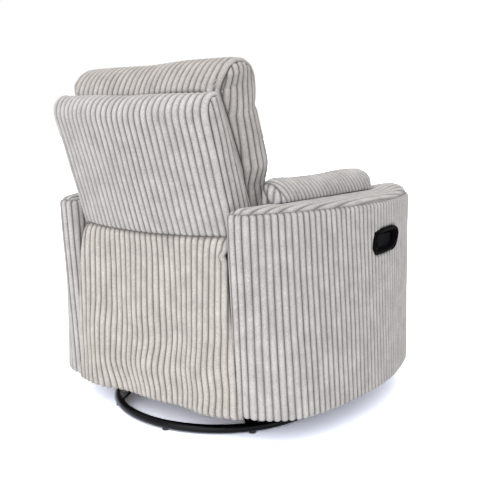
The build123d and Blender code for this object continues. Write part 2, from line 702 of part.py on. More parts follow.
# Lever and its pin
lever_half = CUP_HEIGHT / 2 - CUP_WALL - LEVER_SIDE_GAP
with BuildPart() as pull_pin:
    with BuildSketch(Plane.XY.offset(CUP_Z - CUP_HEIGHT / 2 + LEVER_PIN_SHORT)):
        with Locations(pin_spot):
            Circle(LEVER_PIN_RADIUS)
    extrude(amount=CUP_HEIGHT - 2 * LEVER_PIN_SHORT)
save(pull_pin, "pull_pin")
with BuildPart() as pull_lever:
    with BuildSketch(Plane.XY.offset(CUP_Z - lever_half)):
        with Locations(pin_spot):
            Circle(LEVER_KNUCKLE)
    extrude(amount=2 * lever_half)
    with BuildSketch(Plane.YZ.offset(pin_spot[0] - LEVER_THICKNESS / 2)) as blade:
        with Locations((pin_spot[1] - lever_length / 2, CUP_Z)):
            Rectangle(lever_length, 2 * lever_half)
        fillet(blade.vertices().sort_by(Axis.X)[:2], LEVER_ROUND)
    extrude(amount=LEVER_THICKNESS)
    with BuildSketch(Plane.XY.offset(CUP_Z - CUP_HEIGHT)):
        with Locations(pin_spot):
            Circle(LEVER_PIN_RADIUS + RUN_FIT)
    extrude(amount=2 * CUP_HEIGHT, mode=Mode.SUBTRACT)
save(pull_lever, "pull_lever")

# Recline brackets on the seat rails, each with its hinge pin
with BuildPart() as recline_brackets:
    for side, sign in sides:
        with BuildSketch(side_plane(sign, recline_x, PLATE)):
            with Locations((hinge_y, HINGE_Z)):
                Circle(BRACKET_ROUND)
            with Locations((hinge_y, (HINGE_Z + rail_top) / 2)):
                Rectangle(2 * BRACKET_ROUND, HINGE_Z - rail_top)
        extrude(amount=PLATE)
        foot_x = recline_x + RECLINE_FOOT / 2
        with Locations((sign * foot_x, hinge_y, rail_top)):
            Box(RECLINE_FOOT, 2 * RECLINE_HALF, PLATE, align=(Align.CENTER, Align.CENTER, Align.MIN))
        shank = recline_x - bracket_x + PLATE
        with BuildSketch(side_plane(sign, bracket_x, shank)):
            with Locations((hinge_y, HINGE_Z)):
                Circle(PIN_RADIUS)
        extrude(amount=shank)
save(recline_brackets, "recline_brackets")

# Back brackets, screwed to the stiles
stile_rear = STILE_OFFSET + STILE_DEPTH
with BuildPart() as back_brackets:
    for side, sign in sides:
        x = bracket_x if sign > 0 else -(bracket_x + PLATE)
        with BuildSketch(back_plane(x)):
            Circle(BRACKET_ROUND)
            with BuildLine():
                Polyline((-BRACKET_ROUND, 0), (BRACKET_ROUND, 0), (stile_rear, STILE_START + BRACKET_ROUND),
                         (stile_rear, BRACKET_END), (STILE_OFFSET, BRACKET_END), close=True)
            make_face()
            Circle(PIN_RADIUS + RUN_FIT, mode=Mode.SUBTRACT)
        extrude(amount=PLATE)
save(back_brackets, "back_brackets")

# Back stiles
for side, sign in sides:
    with BuildPart() as back_stile:
        x = bracket_x - STILE_WIDTH if sign > 0 else -bracket_x
        with BuildSketch(back_plane(x)):
            with Locations((STILE_OFFSET + STILE_DEPTH / 2, (STILE_START + STILE_END) / 2)):
                Rectangle(STILE_DEPTH, STILE_END - STILE_START)
        extrude(amount=STILE_WIDTH)
    save(back_stile, f"back_stile_{side}")

# Cross rail between the stiles
stile_inner = bracket_x - STILE_WIDTH
with BuildPart() as back_cross_rail:
    with BuildSketch(back_plane(-stile_inner)):
        with Locations((STILE_OFFSET + STILE_DEPTH / 2, (CROSS_RAIL_LOW + CROSS_RAIL_HIGH) / 2)):
            Rectangle(STILE_DEPTH, CROSS_RAIL_HIGH - CROSS_RAIL_LOW)
    extrude(amount=2 * stile_inner)
save(back_cross_rail, "back_cross_rail")

# Back board behind the stiles
with BuildPart() as back_board:
    with BuildSketch(back_plane(-BACK_BOARD_HALF)):
        with Locations((stile_rear + BACK_BOARD / 2, (BACK_LOW + BACK_BOARD_END) / 2)):
            Rectangle(BACK_BOARD, BACK_BOARD_END - BACK_LOW)
    extrude(amount=2 * BACK_BOARD_HALF)
save(back_board, "back_board")

# Outer back panel: a padded wedge with a crowned rear face and pockets for the board and stiles, open below
panel_rake = atan2(BACK_EDGE_HIGH - BACK_EDGE_LOW, BACK_HIGH - BACK_LOW)
panel_lean = radians(BACK_TILT) + panel_rake
panel_foot = back_plane(0).from_local_coords((BACK_EDGE_LOW, BACK_LOW, 0))
panel_plan = Plane(origin=panel_foot, x_dir=(1, 0, 0), z_dir=(0, sin(panel_lean), cos(panel_lean)))
panel_depth = 2 * (BACK_EDGE_HIGH - BACK_LOW_FRONT)
with BuildPart() as back_panel:
    with BuildSketch(back_plane(-back_half)):
        with BuildLine():
            face_out = BACK_CROWN / cos(panel_rake)
            Polyline((BACK_EDGE_LOW + face_out, BACK_LOW), (BACK_EDGE_HIGH + face_out, BACK_HIGH),
                     (BACK_TOP_FRONT, BACK_HIGH), (BACK_LOW_FRONT, BACK_LOW), close=True)
        make_face()
    extrude(amount=2 * back_half)
    with BuildSketch(panel_plan):
        with BuildLine():
            ThreePointArc((back_half, 0), (0, BACK_CROWN), (-back_half, 0))
            Polyline((-back_half, 0), (-back_half, -panel_depth), (back_half, -panel_depth), (back_half, 0))
        make_face()
    extrude(amount=2 * BACK_HIGH, both=True, mode=Mode.INTERSECT)
    rear_face = back_panel.faces().sort_by(Axis.Y)[-1]
    fillet(rear_face.edges().sort_by(Axis.Z)[1:], BACK_ROUND)
    with BuildSketch(back_plane(-BACK_BOARD_HALF - BOARD_GAP)):
        with Locations((stile_rear + BACK_BOARD / 2, BACK_LOW)):
            Rectangle(BACK_BOARD + 2 * BOARD_GAP, 2 * (BACK_BOARD_END + BOARD_GAP - BACK_LOW))
    extrude(amount=2 * (BACK_BOARD_HALF + BOARD_GAP), mode=Mode.SUBTRACT)
    for side, sign in sides:
        x = stile_inner - BOARD_GAP if sign > 0 else -bracket_x - BOARD_GAP
        with BuildSketch(back_plane(x)):
            with Locations((STILE_OFFSET + STILE_DEPTH / 2, BACK_LOW)):
                Rectangle(STILE_DEPTH + 2 * BOARD_GAP, 2 * (STILE_END + BOARD_GAP - BACK_LOW))
        extrude(amount=STILE_WIDTH + 2 * BOARD_GAP, mode=Mode.SUBTRACT)
save(back_panel, "back_panel")

# Back cushion: head roll and lumbar roll with a sewn channel between, drawn in at both sides
lean_in = (BACK_TOP_FRONT - BACK_LOW_FRONT) / (BACK_HIGH - BACK_LOW)
with BuildPart() as back_cushion:
    for x, draw in ((-1, 1), (-0.86, 0.3), (0, 0), (0.86, 0.3), (1, 1)):
        pull = CUSHION_DRAW * draw
        top = (BACK_TOP_FRONT - SOFT_GAP - CUSHION_TOP_STEP, BACK_HIGH + CUSHION_OVER - pull * 0.3)
        seam = (
            BACK_TOP_FRONT - SOFT_GAP - lean_in * (BACK_HIGH - CUSHION_CHANNEL_AT),
            CUSHION_CHANNEL_AT,
        )
        heel = (BACK_LOW_FRONT - SOFT_GAP, BACK_LOW)
        low_back = (heel[0] - CUSHION_HEEL, CUSHION_LOW + pull * 0.6)
        low_front = (-CUSHION_LUMBAR + CUSHION_TUCK + pull * 0.5, CUSHION_LOW + pull * 0.6)
        belly = (-CUSHION_LUMBAR + pull, (CUSHION_CHANNEL_AT + BACK_LOW) / 2)
        channel = (-CUSHION_CHANNEL + pull * 0.7, CUSHION_CHANNEL_AT)
        brow = (-CUSHION_HEAD + pull, CUSHION_CHANNEL_AT + (CUSHION_HIGH - CUSHION_CHANNEL_AT) * 0.45)
        crest = (
            -CUSHION_CHANNEL + CUSHION_CREST_BACK + pull * 0.7,
            CUSHION_HIGH - CUSHION_CREST_DROP - pull * 0.5,
        )
        peak = ((crest[0] + top[0]) / 2, CUSHION_HIGH - pull * 0.4)
        with BuildSketch(back_plane(x * cushion_half)):
            with BuildLine():
                Line(low_back, heel)
                Line(heel, seam)
                Line(seam, top)
                ThreePointArc(top, peak, crest)
                ThreePointArc(crest, brow, channel)
                ThreePointArc(channel, belly, low_front)
                Line(low_front, low_back)
            make_face()
    loft()
save(back_cushion, "back_cushion")

# Footrest side plates, screwed inside the seat rails, slotted for the sliding ends
bar_drop = BAR_LENGTH * cos(radians(BAR_ANGLE))
open_drop = BAR_LENGTH * cos(radians(BAR_OPEN_ANGLE))
slot_low = SCISSOR_Z - bar_drop - SLOT_SPARE
slot_high = SCISSOR_Z - open_drop + SLOT_SPARE
for side, sign in sides:
    with BuildPart() as footrest_side_plate:
        plate_low = slot_low - SIDE_PLATE_LOW
        plate_high = rail_top - DECK_THICKNESS
        with BuildSketch(side_plane(sign, side_plate_x, PLATE)):
            plate_y = scissor_y + (SIDE_PLATE_BACK - SIDE_PLATE_AHEAD) / 2
            with Locations((plate_y, (plate_low + plate_high) / 2)):
                Rectangle(SIDE_PLATE_AHEAD + SIDE_PLATE_BACK, plate_high - plate_low)
            with Locations((scissor_y, SCISSOR_Z)):
                Circle(PIN_RADIUS + PIN_FIT, mode=Mode.SUBTRACT)
            with Locations((scissor_y, (slot_low + slot_high) / 2)):
                SlotCenterToCenter(slot_high - slot_low, 2 * (PIN_RADIUS + RUN_FIT), rotation=90,
                                   mode=Mode.SUBTRACT)
        extrude(amount=PLATE)
    save(footrest_side_plate, f"footrest_side_plate_{side}")

# Scissor pivot pins in the side plates, headed inside the first bars
with BuildPart() as footrest_pivot_pins:
    for side, sign in sides:
        shank = side_plate_x + PLATE - bar_x + BAR_GAP / 2
        with BuildSketch(side_plane(sign, bar_x - BAR_GAP / 2, shank)):
            with Locations((scissor_y, SCISSOR_Z)):
                Circle(PIN_RADIUS)
        extrude(amount=shank)
        with BuildSketch(side_plane(sign, bar_x - BAR_GAP / 2 - PIN_HEAD_HEIGHT, PIN_HEAD_HEIGHT)):
            with Locations((scissor_y, SCISSOR_Z)):
                Circle(PIN_HEAD)
        extrude(amount=PIN_HEAD_HEIGHT)
save(footrest_pivot_pins, "footrest_pivot_pins")

# Scissor joints at rest, all in the side view
swing = BAR_LENGTH * sin(radians(BAR_ANGLE))
fixed_top = (scissor_y, SCISSOR_Z)
slide_low = (scissor_y, SCISSOR_Z - bar_drop)
first_cross = (scissor_y - swing / 2, SCISSOR_Z - bar_drop / 2)
first_low = (scissor_y - swing, SCISSOR_Z - bar_drop)
first_top = (scissor_y - swing, SCISSOR_Z)
second_cross = (scissor_y - swing * 1.5, SCISSOR_Z - bar_drop / 2)
board_top = (foot_y, SCISSOR_Z)
across = 2 * PLATE + BAR_GAP


def scissor_bars(inner, start, end, holes, hole_radius, studs, stud_radius):
    """A left and right pair of scissor bars with holes, and studs that reach into the other bar plane."""
    with BuildPart() as bars:
        for side, sign in sides:
            bar = slot_plate(side_plane(sign, inner, PLATE), start, end, BAR_WIDTH, PLATE, holes, hole_radius)
            add(bar.part)
            if studs:
                with BuildSketch(side_plane(sign, inner_bar_x, across)):
                    with Locations(*studs):
                        Circle(stud_radius)
                extrude(amount=across)
    return bars


# First pair: hung on the pivot pins, with studs at the crossing and at the low end
scissor_first = scissor_bars(bar_x, fixed_top, first_low, [fixed_top], PIN_RADIUS + RUN_FIT,
                             [first_cross, first_low], STUD_RADIUS)
save(scissor_first, "scissor_first")

# Sliding pair: guided in the slots, with a stud at the top end
with BuildPart() as scissor_sliding:
    add(scissor_bars(inner_bar_x, slide_low, first_top, [first_cross], STUD_RADIUS + RUN_FIT,
                     [first_top], STUD_RADIUS).part)
    with BuildSketch(Plane.YZ.offset(-rail_x)):
        with Locations(slide_low):
            Circle(PIN_RADIUS + PIN_FIT)
    extrude(amount=2 * rail_x, mode=Mode.SUBTRACT)
save(scissor_sliding, "scissor_sliding")

# Cross tube through both sliding ends and both slots
tube_half = side_plate_x + PLATE - BOARD_GAP
with BuildPart() as footrest_cross_tube:
    with BuildSketch(Plane.YZ.offset(-tube_half)):
        with Locations(slide_low):
            Circle(PIN_RADIUS)
    extrude(amount=2 * tube_half)
save(footrest_cross_tube, "footrest_cross_tube")

# Carrying pair: from the low studs up to the board, with a stud at the crossing
scissor_carrying = scissor_bars(inner_bar_x, first_low, board_top, [first_low, board_top],
                                STUD_RADIUS + RUN_FIT, [second_cross], STUD_RADIUS)
save(scissor_carrying, "scissor_carrying")

# Half pair: from the sliding pair's top studs to the second crossing
scissor_half = scissor_bars(bar_x, first_top, second_cross, [first_top, second_cross],
                            STUD_RADIUS + RUN_FIT, [], STUD_RADIUS)
save(scissor_half, "scissor_half")

# Footrest board
board_high = SCISSOR_Z + FOOT_BOARD_RISE
with BuildPart() as footrest_board:
    with Locations((0, foot_board_y, board_high)):
        Box(2 * FOOT_BOARD_HALF, FOOT_BOARD, FOOT_BOARD_RISE + FOOT_BOARD_DROP,
            align=(Align.CENTER, Align.MAX, Align.MAX))
save(footrest_board, "footrest_board")

# Footrest brackets with the studs that carry the board
with BuildPart() as footrest_brackets:
    for side, sign in sides:
        with BuildSketch(side_plane(sign, bar_x, PLATE)):
            with BuildLine():
                Polyline((foot_board_y, board_high), (foot_y + FOOT_BRACKET_BACK, board_high),
                         (foot_y + FOOT_BRACKET_BACK, SCISSOR_Z - FOOT_BRACKET_BACK),
                         (foot_board_y, SCISSOR_Z - FOOT_BRACKET_DROP), close=True)
            make_face()
        extrude(amount=PLATE)
        with BuildSketch(side_plane(sign, inner_bar_x, across)):
            with Locations(board_top):
                Circle(STUD_RADIUS)
        extrude(amount=across)
save(footrest_brackets, "footrest_brackets")

# Footrest pad on the front of the board
pad_back = foot_board_y - FOOT_BOARD - SOFT_GAP
pad_high = board_high + FOOT_PAD_OVER
pad_low = SCISSOR_Z - FOOT_BOARD_DROP - FOOT_PAD_OVER
with BuildPart() as footrest_pad:
    for x, draw in ((-1, 1), (-0.9, 0.25), (0, 0), (0.9, 0.25), (1, 1)):
        pull = FOOT_PAD_DRAW * draw
        shoulder = pad_back - FOOT_PAD_DEPTH * 0.66 + pull
        with BuildSketch(Plane.YZ.offset(x * foot_pad_half)):
            with BuildLine():
                Line((pad_back, pad_low + pull), (pad_back, pad_high - pull))
                Line((pad_back, pad_high - pull), (shoulder, pad_high - pull - FOOT_PAD_ROUND))
                belly = (pad_back - FOOT_PAD_DEPTH + pull, (pad_high + pad_low) / 2)
                high = (shoulder, pad_high - pull - FOOT_PAD_ROUND)
                low = (shoulder, pad_low + pull + FOOT_PAD_ROUND)
                ThreePointArc(high, belly, low)
                Line((shoulder, pad_low + pull + FOOT_PAD_ROUND), (pad_back, pad_low + pull))
            make_face()
    loft()
save(footrest_pad, "footrest_pad")

# Cloth skirt: a thin sheet from the panel's lower edge, hanging in soft folds
lean = radians(BACK_TILT)
skirt_top_y = hinge_y + (BACK_EDGE_LOW - SKIRT_THICKNESS) * cos(lean) + BACK_LOW * sin(lean)
skirt_top_z = HINGE_Z - (BACK_EDGE_LOW + BACK_CROWN) * sin(lean) + BACK_LOW * cos(lean) - SOFT_GAP
skirt_bottom_y = AXIS_Y + SKIRT_BOTTOM_BEHIND
with BuildPart() as back_skirt:
    skirt_middle_y = (skirt_bottom_y + skirt_top_y) / 2
    skirt_middle_z = (SKIRT_BOTTOM_Z + skirt_top_z) / 2
    skirt_middle_bow = (SKIRT_BOTTOM_BOW + BACK_CROWN) / 2
    for half, y, z, fold, bow in (
        (skirt_bottom_half, skirt_bottom_y, SKIRT_BOTTOM_Z, 1, SKIRT_BOTTOM_BOW),
        (skirt_middle_half, skirt_middle_y, skirt_middle_z, 0.7, skirt_middle_bow),
        (skirt_top_half, skirt_top_y, skirt_top_z, 0.15, BACK_CROWN),
    ):
        shares = [2 * i / SKIRT_FOLDS - 1 for i in range(SKIRT_FOLDS + 1)]
        rear = [(half * share, y + bow * (1 - share * share) + SKIRT_FOLD * fold * (-1) ** i)
                for i, share in enumerate(shares)]
        near = [(x, yy - SKIRT_THICKNESS) for x, yy in rear]
        with BuildSketch(Plane.XY.offset(z)):
            with BuildLine():
                Spline(*rear)
                Line(rear[-1], near[-1])
                Spline(*near[::-1])
                Line(near[0], rear[0])
            make_face()
    loft()
save(back_skirt, "back_skirt")
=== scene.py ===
import math

import bmesh
import bpy
import numpy as np
from mathutils import Matrix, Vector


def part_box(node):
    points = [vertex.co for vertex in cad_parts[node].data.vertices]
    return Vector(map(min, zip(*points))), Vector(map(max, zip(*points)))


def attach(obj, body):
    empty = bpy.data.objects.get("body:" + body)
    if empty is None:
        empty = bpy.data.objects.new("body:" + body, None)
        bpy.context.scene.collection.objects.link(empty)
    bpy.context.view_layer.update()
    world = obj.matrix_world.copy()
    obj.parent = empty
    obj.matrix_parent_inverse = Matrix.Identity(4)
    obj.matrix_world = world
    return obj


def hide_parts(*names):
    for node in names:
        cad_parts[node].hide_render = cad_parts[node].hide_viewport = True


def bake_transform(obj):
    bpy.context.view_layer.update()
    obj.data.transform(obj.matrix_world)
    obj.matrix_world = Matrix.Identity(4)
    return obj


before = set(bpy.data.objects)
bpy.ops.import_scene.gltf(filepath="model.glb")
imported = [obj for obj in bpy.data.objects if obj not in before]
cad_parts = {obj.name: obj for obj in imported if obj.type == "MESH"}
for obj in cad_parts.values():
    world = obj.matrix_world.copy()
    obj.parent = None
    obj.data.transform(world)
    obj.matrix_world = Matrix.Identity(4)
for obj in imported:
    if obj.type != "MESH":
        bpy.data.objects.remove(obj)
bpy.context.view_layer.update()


# Floor ring and legs. The ring is a steel tube bent to a circle and welded shut, and four flat bars rise
# from it to the hub. Both are sprayed black and baked, so they show small soft highlights and a little dust.
def linear(code):
    """Linear colour of an sRGB hex code: a small value over 12.92; any other plus 0.055, over 1.055, to
    the power of 2.4."""
    c = np.array([int(code[i:i + 2], 16) for i in (1, 3, 5)]) / 255
    return (*np.where(c <= 0.04045, c / 12.92, ((c + 0.055) / 1.055) ** 2.4), 1.0)


def add(tree, kind, inputs=None, **settings):
    """Adds a node. Settings are its properties; inputs gives each socket a value, or the socket that
    feeds it."""
    node = tree.nodes.new("ShaderNode" + kind)
    for key, value in settings.items():
        setattr(node, key, value)
    for key, value in (inputs or {}).items():
        if isinstance(value, bpy.types.NodeSocket):
            tree.links.new(value, node.inputs[key])
        else:
            node.inputs[key].default_value = value
    return node


def new_finish(name):
    """An empty node material."""
    finish = bpy.data.materials.new(name)
    finish.use_nodes = True
    finish.node_tree.nodes.clear()
    return finish, finish.node_tree


def wear(finish, *nodes):
    """Gives CAD nodes that keep their own shape a finish."""
    for name in nodes:
        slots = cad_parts[name].data.materials
        slots.clear()
        slots.append(finish)


# Sockets of a mix of colours: the share of the second colour, the two colours, and the result.
SHARE, FIRST, SECOND, MIXED = 0, 6, 7, 2

# Baked enamel on steel: near black, glossy, with orange peel 3 mm across and dull patches 60 mm across.
black_enamel, tree = new_finish("black_baked_enamel")
place = add(tree, "TexCoord").outputs["Object"]
peel = add(tree, "TexNoise", {"Vector": place, "Scale": 1 / 0.003, "Detail": 1.0})
dust = add(tree, "TexNoise", {"Vector": place, "Scale": 1 / 0.06, "Detail": 4.0})
tone = add(tree, "Mix", {SHARE: dust.outputs[0], FIRST: linear("#030405"), SECOND: linear("#090A0D")},
           data_type="RGBA")
dull = add(tree, "MapRange", {"Value": dust.outputs[0], "To Min": 0.12, "To Max": 0.28})
bump = add(tree, "Bump", {"Height": peel.outputs[0], "Strength": 0.12, "Distance": 0.0004})
shader = add(tree, "BsdfPrincipled", {"Base Color": tone.outputs[MIXED], "Roughness": dull.outputs[0],
                                      "Normal": bump.outputs[0], "IOR": 1.5, "Specular IOR Level": 0.14})
add(tree, "OutputMaterial", {"Surface": shader.outputs[0]})
wear(black_enamel, "base_ring", "base_legs", "hub_plate", "pull_pin")


# Glides under the ring. Injection-moulded black nylon studs that keep the tube off the floor.
# Moulded nylon: dark grey, satin, with a fine spark-eroded grain drawn 1.2 mm coarse so that it shows.
black_nylon, tree = new_finish("moulded_black_nylon")
place = add(tree, "TexCoord").outputs["Object"]
grain = add(tree, "TexNoise", {"Vector": place, "Scale": 1 / 0.0012, "Detail": 2.0})
rub = add(tree, "TexNoise", {"Vector": place, "Scale": 1 / 0.025, "Detail": 3.0})
tone = add(tree, "Mix", {SHARE: rub.outputs[0], FIRST: linear("#101011"), SECOND: linear("#222224")},
           data_type="RGBA")
dull = add(tree, "MapRange", {"Value": rub.outputs[0], "To Min": 0.42, "To Max": 0.62})
bump = add(tree, "Bump", {"Height": grain.outputs[0], "Strength": 0.2, "Distance": 0.0003})
shader = add(tree, "BsdfPrincipled", {"Base Color": tone.outputs[MIXED], "Roughness": dull.outputs[0],
                                      "Normal": bump.outputs[0], "IOR": 1.53})
add(tree, "OutputMaterial", {"Surface": shader.outputs[0]})
wear(black_nylon, "floor_glides")


# Swivel, hanging-link glider, recline brackets and footrest scissors. Pressed and drilled from steel strip,
# riveted or pinned together, and dipped in zinc against rust.
# Zinc on steel: a grey metal with dull crystal flakes about 9 mm across and faint rolling lines 1 mm apart.
zinc, tree = new_finish("zinc_plated_steel")
place = add(tree, "TexCoord").outputs["Object"]
flake = add(tree, "TexVoronoi", {"Vector": place, "Scale": 1 / 0.009})
rolled = add(tree, "Mapping", {"Vector": place, "Scale": (1 / 0.001, 1 / 0.025, 1 / 0.001)})
roll = add(tree, "TexNoise", {"Vector": rolled.outputs[0], "Scale": 1.0, "Detail": 2.0})
tone = add(tree, "Mix", {SHARE: flake.outputs["Color"], FIRST: linear("#84878B"), SECOND: linear("#B2B5B8")},
           data_type="RGBA")
dull = add(tree, "MapRange", {"Value": roll.outputs[0], "To Min": 0.30, "To Max": 0.52})
bump = add(tree, "Bump", {"Height": roll.outputs[0], "Strength": 0.1, "Distance": 0.0002})
shader = add(tree, "BsdfPrincipled", {"Base Color": tone.outputs[MIXED], "Roughness": dull.outputs[0],
                                      "Normal": bump.outputs[0], "Metallic": 1.0})
add(tree, "OutputMaterial", {"Surface": shader.outputs[0]})
wear(zinc, "swivel_race", "swivel_balls", "swivel_bolt", "turntable_plate", "hanger_beams",
     "hanger_plate_left", "hanger_plate_right", "glide_upper_pins", "swing_link_rear_left",
     "swing_link_rear_right", "swing_link_front_left", "swing_link_front_right", "carriage_plate_left",
     "carriage_plate_right", "glide_lower_pins", "carriage_tubes", "recline_brackets", "back_brackets",
     "footrest_side_plate_left", "footrest_side_plate_right", "footrest_pivot_pins", "scissor_first",
     "scissor_sliding", "scissor_carrying", "scissor_half", "footrest_cross_tube", "footrest_brackets")


# Seat rails, deck, arm boards and formers, stretcher, stiles and boards. Birch plywood, sawn and screwed.
# Raw plywood: pale tan with grain streaks 4 mm wide along the board, and evener patches 90 mm across.
plywood, tree = new_finish("birch_plywood")
place = add(tree, "TexCoord").outputs["Object"]
long_way = add(tree, "Mapping", {"Vector": place, "Scale": (1 / 0.004, 14, 1 / 0.004)}).outputs[0]
streak = add(tree, "TexNoise", {"Vector": long_way, "Scale": 1.0, "Detail": 5.0, "Roughness": 0.6})
patch = add(tree, "TexNoise", {"Vector": place, "Scale": 1 / 0.09, "Detail": 2.0})
tone = add(tree, "Mix", {SHARE: streak.outputs[0], FIRST: linear("#A9834F"), SECOND: linear("#DDBD8A")},
           data_type="RGBA")
tone = add(tree, "Mix", {SHARE: patch.outputs[0], FIRST: tone.outputs[MIXED], SECOND: linear("#C49B63")},
           data_type="RGBA")
bump = add(tree, "Bump", {"Height": streak.outputs[0], "Strength": 0.25, "Distance": 0.0004})
shader = add(tree, "BsdfPrincipled", {"Base Color": tone.outputs[MIXED], "Roughness": 0.72,
                                      "Normal": bump.outputs[0]})
add(tree, "OutputMaterial", {"Surface": shader.outputs[0]})
wear(plywood, "seat_side_rail_left", "seat_side_rail_right", "seat_front_deck", "seat_rear_rail",
     "arm_board_left", "arm_board_right", "arm_formers_left", "arm_formers_right", "rear_stretcher",
     "back_stile_left", "back_stile_right", "back_cross_rail", "back_board", "footrest_board")


# Webbing under the seat cushion. Straps of black polypropylene and rubber thread, stapled at both ends.
# Woven strap: matt black with weft bars 3 mm apart and thin grey warp lines 22 mm apart.
webbing, tree = new_finish("elastic_webbing")
place = add(tree, "TexCoord").outputs["Object"]
unit_wave = math.tau / 20  # A wave texture of scale 1 repeats at this distance.
weft = add(tree, "TexWave", {"Vector": place, "Scale": unit_wave / 0.003, "Distortion": 1.0},
           bands_direction="Y")
warp = add(tree, "TexWave", {"Vector": place, "Scale": unit_wave / 0.022}, bands_direction="X")
thin = add(tree, "Math", {0: warp.outputs[1], 1: 6.0}, operation="POWER")
tone = add(tree, "Mix", {SHARE: weft.outputs[1], FIRST: linear("#151517"), SECOND: linear("#2E2E31")},
           data_type="RGBA")
tone = add(tree, "Mix", {SHARE: thin.outputs[0], FIRST: tone.outputs[MIXED], SECOND: linear("#55555A")},
           data_type="RGBA")
bump = add(tree, "Bump", {"Height": weft.outputs[1], "Strength": 0.5, "Distance": 0.0005})
shader = add(tree, "BsdfPrincipled", {"Base Color": tone.outputs[MIXED], "Roughness": 0.85,
                                      "Normal": bump.outputs[0]})
add(tree, "OutputMaterial", {"Surface": shader.outputs[0]})
wear(webbing, "seat_webbing")


# Arm covers. Wide-ribbed plush sewn as a wall and a top, pulled over the round formers and wadding and
# stapled underneath. The wall's ribs stand upright, the top's run along the arm, and a seam joins the two.
# AXIS_Y is where the swivel's axis stands, RIB is from groove to groove, and PILE is a crest's height.
AXIS_Y = 0.06765
RIB = 0.020
PILE = 0.0052


def closed(loop):
    """The loop with its first point again at its end."""
    return np.vstack([loop, loop[:1]])


def wrapped(grid):
    """The grid with its first column again at its end."""
    return np.hstack([grid, grid[:, :1]])


def distance_along(line):
    """How far along a line each of its points lies: the sum of the steps before it."""
    return np.append(0, np.cumsum(np.linalg.norm(np.diff(line, axis=0), axis=1)))


def even(line, count):
    """The same line with its points evenly spaced along its length."""
    length = distance_along(line)
    return np.column_stack([np.interp(np.linspace(0, length[-1], count), length, c) for c in line.T])


def soften(loop, reach):
    """Rounds a closed line: each point becomes the mean of the line round it, weighed by a bell curve of
    that reach."""
    count = 4096
    length = distance_along(closed(loop))
    along = np.linspace(0, length[-1], count, endpoint=False)
    line = np.column_stack([np.interp(along, length, c) for c in closed(loop).T])
    bell = np.exp(-0.5 * (np.minimum(along, length[-1] - along) / reach) ** 2)
    weights = np.fft.rfft(bell / bell.sum())[:, None]
    soft = np.fft.irfft(np.fft.rfft(line, axis=0) * weights, n=count, axis=0)
    return np.column_stack([np.interp(length[:-1], along, c, period=length[-1]) for c in soft.T])


def inward(loop):
    """Unit vectors across a closed line towards its inside: the way along it, turned by a quarter."""
    way = np.roll(loop, -1, axis=0) - np.roll(loop, 1, axis=0)
    way /= np.linalg.norm(way, axis=1)[:, None] + 1e-12
    turn = np.column_stack([-way[:, 1], way[:, 0]])
    area = np.sum(loop[:, 0] * np.roll(loop[:, 1], -1) - loop[:, 1] * np.roll(loop[:, 0], -1))
    return turn * np.sign(area)


def ease(share):
    """A smooth step from 0 to 1: three squares less two cubes of the share, which is kept from 0 to 1."""
    share = np.clip(share, 0, 1)
    return share * share * (3 - 2 * share)


def nearest(grid, points):
    """How far each point of a grid lies from the nearest of some points."""
    return np.sqrt(np.min([((grid - p) ** 2).sum(axis=-1) for p in points], axis=0))


def ribs(across):
    """Pile height, 0 in a groove and 1 on a crest: one less the distance from the crest line, in half
    ribs, to the power 2.6."""
    return 1 - np.abs(2 * np.mod(across / RIB, 1) - 1) ** 2.6


def waver(a, b, size):
    """Slow unevenness from -1 to 1: the mean of two products of sines and one sine."""
    a, b = a / size, b / size
    return (np.sin(a * 5.1 + 1.3) * np.sin(b * 3.7 + 0.4) + np.sin(a * 2.3 + b * 2.9 + 2.1)
            + np.sin(a * 7.7 - b * 4.3 + 4.0) * np.sin(b * 6.1 + a + 0.9)) / 3


def weld(grids, keeps):
    """Joins grids of points into one mesh: points at one place become one, a quad that loses a corner
    becomes a triangle, and a grid's quads are left out where its mask is false. Gives all points, the
    first at each place, each point's place among those, and the faces."""
    points = np.concatenate([grid.reshape(-1, 3) for grid in grids])
    places = np.round(points * 1e5).astype(np.int64)
    first, joined = np.unique(places, axis=0, return_index=True, return_inverse=True)[1:]
    joined, start, quads = joined.ravel(), 0, []
    for grid, keep in zip(grids, keeps):
        index = start + np.arange(grid.shape[0] * grid.shape[1]).reshape(grid.shape[:2])
        cells = np.stack([index[:-1, :-1], index[1:, :-1], index[1:, 1:], index[:-1, 1:]], axis=-1)
        quads.append(cells.reshape(-1, 4) if keep is None else cells[keep])
        start += index.size
    faces = joined[np.concatenate(quads)]
    same = faces == np.roll(faces, -1, axis=1)
    cut = same.sum(axis=1) == 1
    corner = np.argmax(same[cut], axis=1)[:, None]
    thirds = np.take_along_axis(faces[cut], (corner + [[1, 2, 3]]) % 4, axis=1)
    return points, first, joined, faces[~same.any(axis=1)].tolist() + thirds.tolist()


def outward_mesh(name, points, faces):
    """A mesh whose faces all look outwards."""
    mesh = bpy.data.meshes.new(name)
    mesh.from_pydata(points, [], faces)
    work = bmesh.new()
    work.from_mesh(mesh)
    bmesh.ops.recalc_face_normals(work, faces=work.faces)
    work.to_mesh(mesh)
    work.free()
    return mesh


